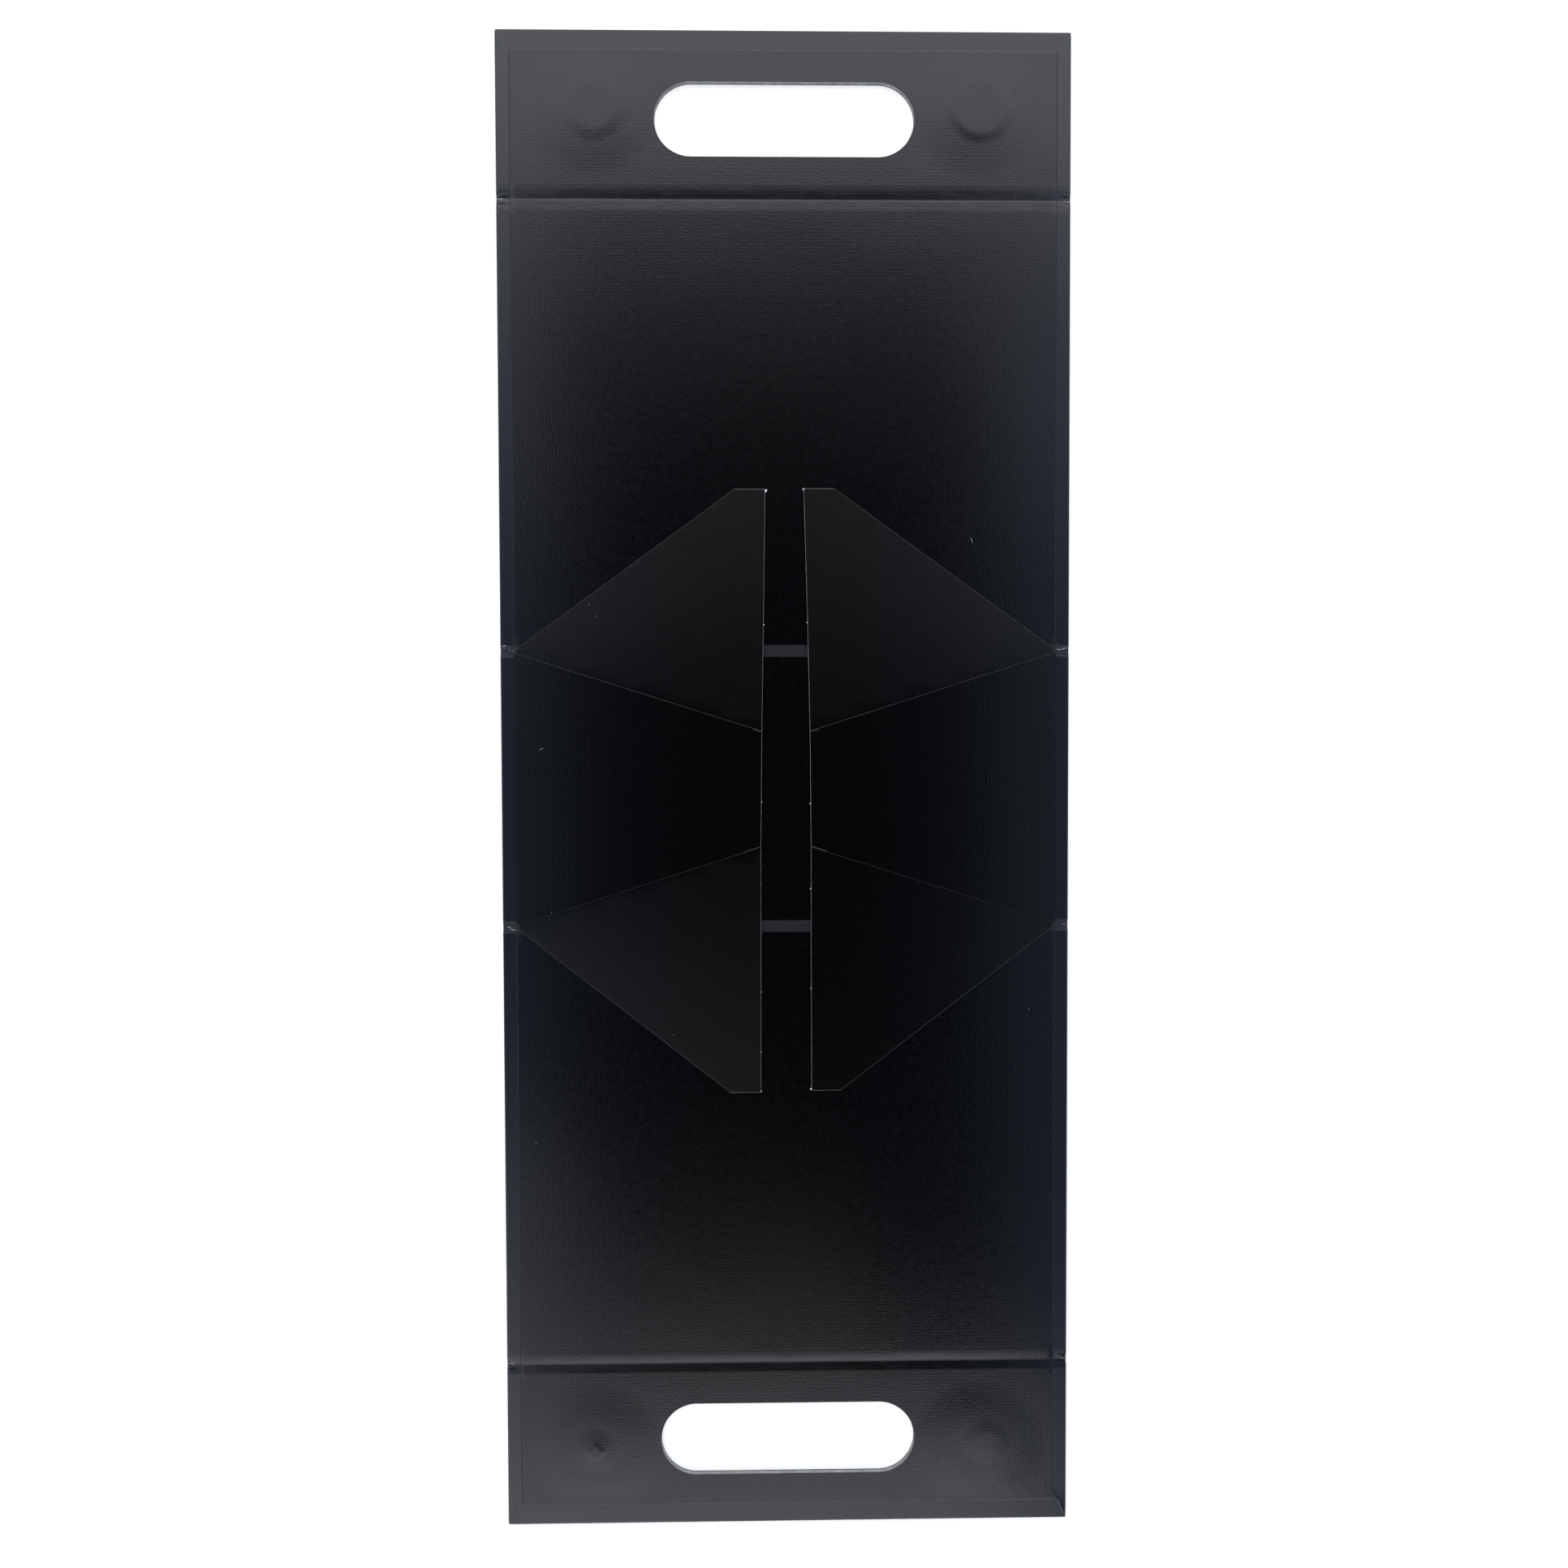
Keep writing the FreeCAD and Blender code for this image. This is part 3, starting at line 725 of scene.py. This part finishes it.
def linerSheet(near, far, step, height, endEdge=False, stepAlong=None):
    half = lines["linerHalf"]
    edge = linerShape["edge"]
    bm = sheetGrid(-half, half, near, far, step, stepAlong)
    for side in (-1, 1):
        cutAt(bm, Vector((1, 0, 0)), Vector((side * (half - edge), 0, 0)))
    if endEdge:
        cutAt(bm, Vector((0, 1, 0)), Vector((0, far - edge, 0)))
    for face in bm.faces:
        centre = face.calc_center_median()
        if endEdge and centre.y > far - edge:
            face.material_index = linerFinishes["endEdge"]
        elif abs(centre.x) > half - edge:
            face.material_index = linerFinishes["sideEdge"]
    for v in bm.verts:
        v.co.z = lines["linerTop"] + height(v.co.x, v.co.y)
        if abs(v.co.x) > half - 1e-6 or (endEdge and v.co.y > far - 1e-6):
            v.co.z -= linerShape["edgeDrop"] * paperThick
    return bm


def flatHeight(x, y):
    # a low wave that fades out towards the hinge strips
    reach = linerShape["waveFade"]
    fade = smoothStep(0, reach, abs(abs(y) - lines["baseHinge"]) - stripReach)
    fade *= smoothStep(0, reach, abs(abs(y) - lines["handleHinge"]) - stripReach)
    return fade * linerShape["wave"] * rough(x, y, linerShape["waveSize"], 1.5)


def linerPanel(name, body, near, far, turned=False, marks=None):
    step = linerShape["handleStep"] if marks else linerShape["panelStep"]
    magnets = []
    swell = swellShape[body[-1]] if marks else 0.0
    if marks:
        for place in ("left", "right"):
            low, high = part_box(body + "_magnet_" + place)
            magnets.append((low + high) / 2 * (-1 if turned else 1))

    def height(x, y):
        rise = magnetRise(x, y, marks, magnets, swell) if marks else 0.0
        return rise + flatHeight(x, y)

    bm = linerSheet(near, far, step, height, endEdge=bool(marks))
    piece = addPiece(name, bm, [linerPaper, paperEdge, litEdge, speckAndHighlight], turned)
    thicken(piece, paperThick)
    if marks:
        cutHole(piece, turned)
    else:
        applyModifiers(piece)
    if name in linerFlecks:
        addFlecks(piece, linerFlecks[name], lines["linerTop"], linerFinishes["speck"])
    smoothPiece(piece, linerShape["sharpAngle"])
    flattenShading(piece)
    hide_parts(name.replace("_lining", "_liner"))
    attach(piece, body)


def linerHinge(name, hinge, bodies, groove, turned):
    def height(x, y):
        drop = grooveDrop(y - hinge, groove)
        wrinkle = grooveRough["wrinkle"] * rough(x, y * 2, grooveRough["wrinkleSize"], 7 + hinge)
        return wrinkle * min(1, drop / grooveRough["fullDrop"]) - drop

    near = hinge - stripReach
    far = hinge + stripReach
    bm = linerSheet(near, far, linerShape["stripStep"], height, stepAlong=grooveRough["step"])
    piece = addPiece(name, bm, [linerPaper, paperEdge], turned)
    thicken(piece, stripThick)
    applyModifiers(piece)
    markRubbedAndLit(piece, lambda x, y: grooveRubAndLight(abs(y) - hinge, groove))
    smoothPiece(piece, grooveRough["sharpAngle"])
    bendStrip(piece, hinge, bodies)


baseHinge = lines["baseHinge"]
handleHinge = lines["handleHinge"]
wrapPanel("base_outer", "base", -baseHinge + stripReach, baseHinge - stripReach)
linerPanel("base_lining", "base", -baseHinge + stripReach, baseHinge - stripReach)
for side, turned in (("a", False), ("b", True)):
    wall = "wall_" + side
    handle = "handle_" + side
    wrapPanel(wall + "_outer", wall, baseHinge + stripReach, handleHinge - stripReach, False, turned)
    linerPanel(wall + "_lining", wall, baseHinge + stripReach, handleHinge - stripReach, turned)
    wrapPanel(handle + "_outer", handle, handleHinge + stripReach, lines["freeEdge"], True, turned)
    marks = magnetMarks[side]
    linerPanel(handle + "_lining", handle, handleHinge + stripReach, lines["linerEnd"], turned, marks)
    handleGroove = grooves["handle" + side.upper()]
    for label, maker in (("web", wrapHinge), ("groove", linerHinge)):
        ending = "_hinge_%s_%s" % (side, label)
        maker("base" + ending, baseHinge, ("base", wall), grooves["base"], turned)
        maker("handle" + ending, handleHinge, (wall, handle), handleGroove, turned)
print("wrap, liner and hinge strips made")


# Boards: the raw edge of each hand hole is soft and slightly wavy
coreShape = {"levels": 5, "bulge": 0.25 * mm, "wave": 0.2 * mm, "waveSize": 7 * mm}


def handleCore(name, body, turned):
    low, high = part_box(name.replace("_core", "_board"))
    near = min(abs(low.y), abs(high.y))
    far = max(abs(low.y), abs(high.y))
    bm = bmesh.new()
    bmesh.ops.create_cube(bm, size=1)
    bmesh.ops.scale(bm, vec=(high.x - low.x, far - near, high.z - low.z), verts=bm.verts)
    bmesh.ops.translate(bm, vec=(0, (near + far) / 2, (high.z + low.z) / 2), verts=bm.verts)
    piece = addPiece(name, bm, [greyboard])
    cutHole(piece, False, holeShape["boardOutward"])
    bm = bmesh.new()
    bm.from_mesh(piece.data)
    walls = edgesAlong(bm, 2, lambda c: abs(c.x) < high.x - mm and near + mm < c.y < far - mm)
    bmesh.ops.subdivide_edges(bm, edges=walls, cuts=coreShape["levels"], use_grid_fill=True)
    middle = lines["handleHinge"] + holeShape["fromHinge"]
    straight = holeShape["halfLong"] - holeShape["halfWide"]
    for v in bm.verts:
        centreX = max(-straight, min(straight, v.co.x))
        inward = Vector((centreX - v.co.x, middle - v.co.y, 0))
        if inward.length > holeShape["halfWide"] + mm or not low.z + 1e-6 < v.co.z < high.z - 1e-6:
            continue
        share = math.sin(math.pi * (v.co.z - low.z) / (high.z - low.z))
        wave = rough(v.co.x, v.co.y + v.co.z * 3, coreShape["waveSize"], 5)
        push = coreShape["bulge"] + coreShape["wave"] * wave
        v.co += inward.normalized() * push * share
    if turned:
        turnHalfRound(bm)
    bm.to_mesh(piece.data)
    bm.free()
    smoothPiece(piece)
    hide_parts(name.replace("_core", "_board"))
    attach(piece, body)


handleCore("handle_a_core", "handle_a", False)
handleCore("handle_b_core", "handle_b", True)
print("handle boards made")

# Gussets. Their faces use these finishes, by number.
# the fold and faintFold finishes are painted highlights along the gussets' creases and folded edges
cardFinishes = {"face": 0, "cut": 1, "fold": 2, "torn": 3, "faintFold": 4, "speck": 5}

# Wings, in millimetres: distances of the inner edge and of the tip from the middle of the box
# each wing below also gives the strength of the painted sheen laid on it
wingShapes = {
    "left_gusset_wing_a": {
        "side": -1, "end": 1, "tipInner": 7.3, "midInner": 8.1, "foldInner": 8.8,
        "tip": 110.0, "flat": 11.3, "worn": 1.0, "crease": "fold",
    },
    "right_gusset_wing_a": {
        "side": 1, "end": 1, "tipInner": 6.7, "midInner": 8.0, "foldInner": 8.8,
        "tip": 110.2, "flat": 11.3, "worn": 0.9, "crease": "fold",
    },
    "left_gusset_wing_b": {
        "side": -1, "end": -1, "tipInner": 9.6, "midInner": 9.4, "foldInner": 9.3,
        "tip": 112.8, "flat": 11.4, "worn": 1.0, "crease": "faintFold",
    },
    "right_gusset_wing_b": {
        "side": 1, "end": -1, "tipInner": 9.1, "midInner": 9.0, "foldInner": 9.1,
        "tip": 112.2, "flat": 10.9, "worn": 0.08, "crease": "faintFold",
    },
}
cardShape = {
    "ring": 0.17 * mm,
    "cutDrop": 0.12 * mm,
    "foldDrop": 0.02 * mm,
    "midAt": 61 * mm,
    "station": 6 * mm,
    "arch": 0.16 * mm,
    "archReach": 100 * mm,
    "creaseHalf": 0.06 * mm,
    "rootGap": 0.6 * mm,
    "creaseShade": 2.2 * mm,
    "nickLong": 1.7,
    "nickWide": 1.3,
    "sharpAngle": 11,
}
# Torn bits where the die left the card joined: place along the inner edge and size, in millimetres
nickPlaces = {
    "left_gusset_wing_a": [(109.3, 0.85), (60.4, 0.4)],
    "left_gusset_end_panel": [(-4.7, 0.3)],
    "left_gusset_wing_b": [(-75.2, 0.32), (-97.5, 0.3), (-112.4, 0.35)],
    "right_gusset_wing_a": [(109.9, 0.5), (61.2, 0.45)],
    "right_gusset_end_panel": [(-5.4, 0.35)],
    "right_gusset_wing_b": [(-36.9, 0.3), (-74.1, 0.38), (-111.6, 0.55)],
}
# Specks and a scratch on the cards: x, y, length, width in millimetres, and the turn in degrees
cardFlecks = {
    "left_gusset_wing_a": [(-69.3, 63.7, 0.5, 0.4, 0), (-72.0, 67.9, 0.3, 0.3, 0)],
    "left_gusset_wing_b": [(-42.0, -91.0, 0.4, 0.35, 0)],
    "left_gusset_end_panel": [(-86.6, -45.2, 0.4, 0.35, 0), (-89.9, 15.0, 2.2, 0.2, 25)],
    "right_gusset_wing_b": [(43.6, -57.3, 0.4, 0.35, 0)],
}
wingLow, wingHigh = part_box("left_gusset_wing_a")
innerX = min(abs(wingLow.x), abs(wingHigh.x))
outerX = max(abs(wingLow.x), abs(wingHigh.x))
foldX = max(abs(c.x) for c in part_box("left_gusset_end_panel"))


def creaseAt(x):
    # distance along Y of the crease between a wing and its end panel
    return wingLow.y + (abs(x) - innerX) * math.tan(leanAngle)


def outlineCard(points):
    bm = bmesh.new()
    face = bm.faces.new([bm.verts.new((x, y, lines["cardTop"])) for x, y in points])
    face.normal_update()
    if face.normal.z < 0:
        bmesh.ops.reverse_faces(bm, faces=[face])
    return bm


def finishCard(name, bm, body, edgeFinish, bend, innerAt, worn=None):
    ring = bmesh.ops.inset_region(
        bm, faces=bm.faces[:], thickness=cardShape["ring"], use_boundary=True, use_even_offset=True
    )
    for face in ring["faces"]:
        face.material_index = edgeFinish(face.calc_center_median())
    low = min(v.co.x for v in bm.verts)
    high = max(v.co.x for v in bm.verts)
    near = min(v.co.y for v in bm.verts)
    far = max(v.co.y for v in bm.verts)
    for index in range(1, int((high - low) / cardShape["station"])):
        cutAt(bm, Vector((1, 0, 0)), Vector((low + index * cardShape["station"], 0, 0)))
    for index in range(1, int((far - near) / cardShape["station"])):
        cutAt(bm, Vector((0, 1, 0)), Vector((0, near + index * cardShape["station"], 0)))
    for v in bm.verts:
        v.co.z += bend(v.co.x, v.co.y)
        if v.is_boundary:
            atCut = any(face.material_index == cardFinishes["cut"] for face in v.link_faces)
            v.co.z -= cardShape["cutDrop"] if atCut else cardShape["foldDrop"]
    materials = [blackCard, cardEdge, foldWear, tornFibre, faintFold, speckAndHighlight]
    piece = addPiece(name.replace("_gusset", "") + "_card", bm, materials)
    thicken(piece, lines["cardTop"] - lines["cardUnder"] - 0.02 * mm, even=False)
    applyModifiers(piece)
    bm = bmesh.new()
    bm.from_mesh(piece.data)
    for y, size in nickPlaces[name]:
        place = Vector((innerAt(y * mm), y * mm, lines["cardTop"] - 0.03 * mm))
        long = cardShape["nickLong"] * size * mm
        wide = cardShape["nickWide"] * size * mm
        addFleck(bm, place, long, wide, 20, cardFinishes["torn"])
    bm.to_mesh(piece.data)
    bm.free()
    addFlecks(piece, cardFlecks.get(name, []), lines["cardTop"], cardFinishes["speck"])
    if worn:
        markRubbedAndLit(piece, worn)
    smoothPiece(piece, cardShape["sharpAngle"])
    flattenShading(piece)
    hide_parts(name)
    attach(piece, body)


def makeWing(name, shape):
    side = shape["side"]
    end = shape["end"]
    hinge = lines["baseHinge"]
    reach = shape["tip"] * mm
    crease = creaseAt(shape["foldInner"] * mm)
    tipInner = shape["tipInner"] * mm
    shoulder = Vector((tipInner + shape["flat"] * mm, reach))
    points = [
        (outerX, hinge + cardShape["rootGap"]),
        (outerX, creaseAt(outerX) + cardShape["creaseHalf"]),
        (shape["foldInner"] * mm, crease + cardShape["creaseHalf"]),
        (shape["midInner"] * mm, cardShape["midAt"]),
        (tipInner, reach),
        tuple(shoulder),
    ]
    bm = outlineCard([(side * x, end * y) for x, y in points])
    slant = math.atan2(shoulder.y - hinge, foldX - shoulder.x)

    def edgeFinish(centre):
        if abs((foldX - abs(centre.x)) * math.tan(slant) + hinge - abs(centre.y)) < mm:
            return cardFinishes["fold"]
        if abs(abs(centre.y) - creaseAt(centre.x)) < mm:
            return cardFinishes[shape["crease"]]
        return cardFinishes["cut"]

    def foldShare(x, y):
        # 0 at the crease beside the end panel, 1 at the diagonal fold
        turn = math.atan2(abs(y) - hinge, foldX - abs(x))
        return min(1.0, max(0.0, (turn + leanAngle) / (slant + leanAngle)))

    def bend(x, y):
        run = math.hypot(foldX - abs(x), abs(y) - hinge)
        arch = cardShape["arch"] * math.sin(math.pi * foldShare(x, y))
        return arch * smoothStep(0, cardShape["archReach"], run)

    def worn(x, y):
        # painted shade keeps the card dark along the crease; away from it painted sheen makes the card
        # lighter, most beside the diagonal fold, where it is also rougher
        shade = smoothStep(0, cardShape["creaseShade"], abs(y) - creaseAt(x))
        return shape["worn"] * shade * (0.55 + 0.45 * smoothStep(0, 0.9, foldShare(x, y)))

    def innerAt(y):
        y = abs(y)
        share = smoothStep(cardShape["midAt"], reach, y)
        return side * (shape["midInner"] * mm * (1 - share) + tipInner * share)

    finishCard(name, bm, name.replace("_gusset", ""), edgeFinish, bend, innerAt, worn)


def makeEndPanel(name, side, innerA, innerB):
    half = cardShape["creaseHalf"]
    reachA = innerA * mm
    reachB = innerB * mm
    points = [
        (foldX, creaseAt(foldX) - half),
        (reachA, creaseAt(reachA) - half),
        (reachB, -creaseAt(reachB) + half),
        (foldX, -creaseAt(foldX) + half),
    ]
    bm = outlineCard([(side * x, y) for x, y in points])

    def edgeFinish(centre):
        atCut = abs(centre.x) < max(reachA, reachB) + 0.5 * mm
        return cardFinishes["cut" if atCut else "face"]

    middle = side * (reachA + reachB) / 2
    body = name.replace("_gusset_end_panel", "_end")
    finishCard(name, bm, body, edgeFinish, lambda x, y: 0.0, lambda y: middle)


for name, shape in wingShapes.items():
    makeWing(name, shape)
makeEndPanel("left_gusset_end_panel", -1, 8.8, 9.3)
makeEndPanel("right_gusset_end_panel", 1, 8.8, 9.1)
print("gussets made")

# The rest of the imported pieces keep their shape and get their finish
for name, node in frame["nodes"].items():
    if node.hide_render:
        continue
    finish = greyboard
    if "magnet" in name:
        finish = nickelPlate
    elif "flap" in name:
        finish = blackCard
    node.data.materials.clear()
    node.data.materials.append(finish)
print("carried pieces finished")

# Stage: a pale floor, a pale surround near the horizon and soft lamps beyond the ends and sides
stageLook = {
    "floor": 0.78,
    "floorDrop": 0.15 * mm,
    "floorSize": 30.0,
    "floorLift": 0.6,  # rises to 1 between the two distances in metres
    "liftFrom": 0.5,
    "liftTo": 1.6,
    "zenith": 0.01,
    "skyFrom": 0.42,
    "skyTo": 0.7,
}


def makeFloor():
    bm = bmesh.new()
    bmesh.ops.create_grid(bm, x_segments=1, y_segments=1, size=stageLook["floorSize"])
    bmesh.ops.translate(bm, vec=(0, 0, -stageLook["floorDrop"]), verts=bm.verts)
    made = bpy.data.materials.new("pale floor")
    made.use_nodes = True
    nodes = made.node_tree.nodes
    link = made.node_tree.links.new
    nodes.clear()
    output = addNode(nodes, "ShaderNodeOutputMaterial", (600, 0))
    both = addNode(nodes, "ShaderNodeAddShader", (400, 0))
    plain = addNode(nodes, "ShaderNodeBsdfDiffuse", (150, 100))
    plain.inputs["Color"].default_value = (*[stageLook["floor"]] * 3, 1)
    # far from the object the floor brightens to white
    coords = addNode(nodes, "ShaderNodeTexCoord", (-1000, -400))
    length = addNode(nodes, "ShaderNodeVectorMath", (-800, -400), operation="LENGTH")
    link(coords.outputs["Object"], length.inputs[0])
    away = addNode(nodes, "ShaderNodeMapRange", (-600, -400), interpolation_type="SMOOTHSTEP")
    away.inputs["From Min"].default_value = stageLook["liftFrom"]
    away.inputs["From Max"].default_value = stageLook["liftTo"]
    away.inputs["To Min"].default_value = stageLook["floorLift"]
    away.inputs["To Max"].default_value = 1.0
    link(length.outputs["Value"], away.inputs["Value"])
    lifted = addNode(nodes, "ShaderNodeMath", (-50, -200), operation="MULTIPLY")
    link(addSeen(nodes, link), lifted.inputs[0])
    link(away.outputs["Result"], lifted.inputs[1])
    lift = addNode(nodes, "ShaderNodeEmission", (150, -100))
    link(lifted.outputs[0], lift.inputs["Strength"])
    link(plain.outputs[0], both.inputs[0])
    link(lift.outputs[0], both.inputs[1])
    link(both.outputs[0], output.inputs["Surface"])
    floor = addPiece("floor", bm, [made])


def addSeen(nodes, link):
    # 1 where the camera, a mirror or glass looks, 0 for the light on the object
    rays = addNode(nodes, "ShaderNodeLightPath", (-600, -200))
    total = rays.outputs["Is Camera Ray"]
    for name in ("Is Glossy Ray", "Is Transmission Ray"):
        added = addNode(nodes, "ShaderNodeMath", (-400, -200), operation="ADD", use_clamp=True)
        link(total, added.inputs[0])
        link(rays.outputs[name], added.inputs[1])
        total = added.outputs[0]
    return total


def makeWorld():
    world = bpy.data.worlds.new("studio")
    bpy.context.scene.world = world
    world.use_nodes = True
    nodes = world.node_tree.nodes
    link = world.node_tree.links.new
    nodes.clear()
    output = addNode(nodes, "ShaderNodeOutputWorld", (900, 0))
    back = addNode(nodes, "ShaderNodeBackground", (700, 0))
    back.inputs["Color"].default_value = (1, 1, 1, 1)
    coords = addNode(nodes, "ShaderNodeTexCoord", (-900, 200))
    split = addNode(nodes, "ShaderNodeSeparateXYZ", (-700, 200))
    link(coords.outputs["Generated"], split.inputs[0])
    height = addNode(nodes, "ShaderNodeMapRange", (-500, 200), interpolation_type="SMOOTHSTEP")
    height.inputs["From Min"].default_value = stageLook["skyFrom"]
    height.inputs["From Max"].default_value = stageLook["skyTo"]
    height.inputs["To Min"].default_value = 1.0
    height.inputs["To Max"].default_value = stageLook["zenith"]
    link(split.outputs["Z"], height.inputs["Value"])
    pale = addNode(nodes, "ShaderNodeMath", (200, 100), operation="MULTIPLY")
    link(height.outputs["Result"], pale.inputs[0])
    link(addSeen(nodes, link), pale.inputs[1])
    fill = addNode(nodes, "ShaderNodeMath", (400, 100), operation="MAXIMUM")
    link(pale.outputs[0], fill.inputs[0])
    fill.inputs[1].default_value = stageLook["zenith"]
    link(fill.outputs[0], back.inputs["Strength"])
    link(back.outputs[0], output.inputs["Surface"])


# Lamps lie level at one height. Beyond each end the light grows in steps, so that the paper's sheen
# fades towards the middle of the box. Sides are weaker and cooler. Spans are in X and metres, steps
# are two distances from the middle and a level, and the side lamps have X, then Y.
lampHeight = 1.2
lampGap = 0.004
lampPlan = {
    "far": {
        "span": (-1.3, 1.3),
        "sign": 1,
        "tint": (0.955, 0.98, 1.02),
        "steps": [
            (0.28, 0.38, 0.02), (0.38, 0.48, 0.1), (0.48, 0.58, 0.22),
            (0.58, 0.66, 0.45), (0.66, 0.72, 1.2), (0.72, 2.6, 2.35),
        ],
    },
    "near": {
        "span": (-1.6, 0.36),
        "sign": -1,
        "tint": (0.98, 0.98, 1.0),
        "steps": [(0.77, 0.86, 0.9), (0.86, 2.6, 2.05)],
    },
    "nearLow": {
        "span": (-1.6, 0.12),
        "sign": -1,
        "tint": (0.98, 0.98, 1.0),
        "steps": [(0.5, 0.66, 0.08), (0.66, 0.77, 0.38)],
    },
    "farLeft": {
        "span": (-1.5, -0.275),
        "sign": 1,
        "tint": (0.97, 0.98, 1.0),
        "steps": [(0.12, 0.3, 0.12), (0.3, 0.7, 0.48)],
    },
    "farRight": {
        "span": (0.28, 1.5),
        "sign": 1,
        "tint": (0.84, 0.92, 1.0),
        "steps": [(0.12, 0.28, 0.08), (0.28, 0.7, 0.32)],
    },
    "nearLeft": {
        "span": (-1.5, -0.275),
        "sign": -1,
        "tint": (0.96, 0.98, 1.0),
        "steps": [(0.48, 0.84, 0.48)],
    },
}
sidePlan = {
    "left": (-1.5, -0.28, -0.8, 0.7),
    "right": (0.31, 1.5, -1.7, 0.7),
    "level": 0.5,
    "tint": (0.57, 0.75, 1.0),
}


def makeLamp(name, low, high, level, tint):
    # each lamp hangs a little above the last, so that lamps may overlap
    height = lampHeight + lampGap * len([o for o in bpy.data.objects if o.type == "LIGHT"])
    width = high[0] - low[0]
    depth = high[1] - low[1]
    data = bpy.data.lights.new(name, "AREA")
    data.shape = "RECTANGLE"
    data.size = width
    data.size_y = depth
    data.energy = level * math.pi * width * depth
    data.color = tint
    lamp = bpy.data.objects.new(name, data)
    lamp.location = ((low[0] + high[0]) / 2, (low[1] + high[1]) / 2, height)
    bpy.context.scene.collection.objects.link(lamp)


def makeLamps():
    for name, plan in lampPlan.items():
        left, right = plan["span"]
        for index, (near, far, level) in enumerate(plan["steps"]):
            low, high = sorted((plan["sign"] * near, plan["sign"] * far))
            label = "lamp_%s_%d" % (name, index)
            makeLamp(label, (left, low), (right, high), level, plan["tint"])
    for name in ("left", "right"):
        left, right, near, far = sidePlan[name]
        makeLamp("lamp_" + name, (left, near), (right, far), sidePlan["level"], sidePlan["tint"])


makeFloor()
makeWorld()
makeLamps()

# Camera, fitted to the photograph
cameraPlan = {
    "place": (-0.01056, 0.01915, 0.52409),
    "turn": (-1.9019, -1.0824, -0.169),
    "lens": 32.4,
    "sensor": 36.0,
}
cameraData = bpy.data.cameras.new("camera")
cameraData.lens = cameraPlan["lens"]
cameraData.sensor_width = cameraPlan["sensor"]
cameraData.clip_start = 0.01
camera = bpy.data.objects.new("camera", cameraData)
camera.location = cameraPlan["place"]
camera.rotation_euler = [math.radians(a) for a in cameraPlan["turn"]]
bpy.context.scene.collection.objects.link(camera)
bpy.context.scene.camera = camera
bpy.context.scene.view_settings.view_transform = "Standard"
print("stage and camera made")
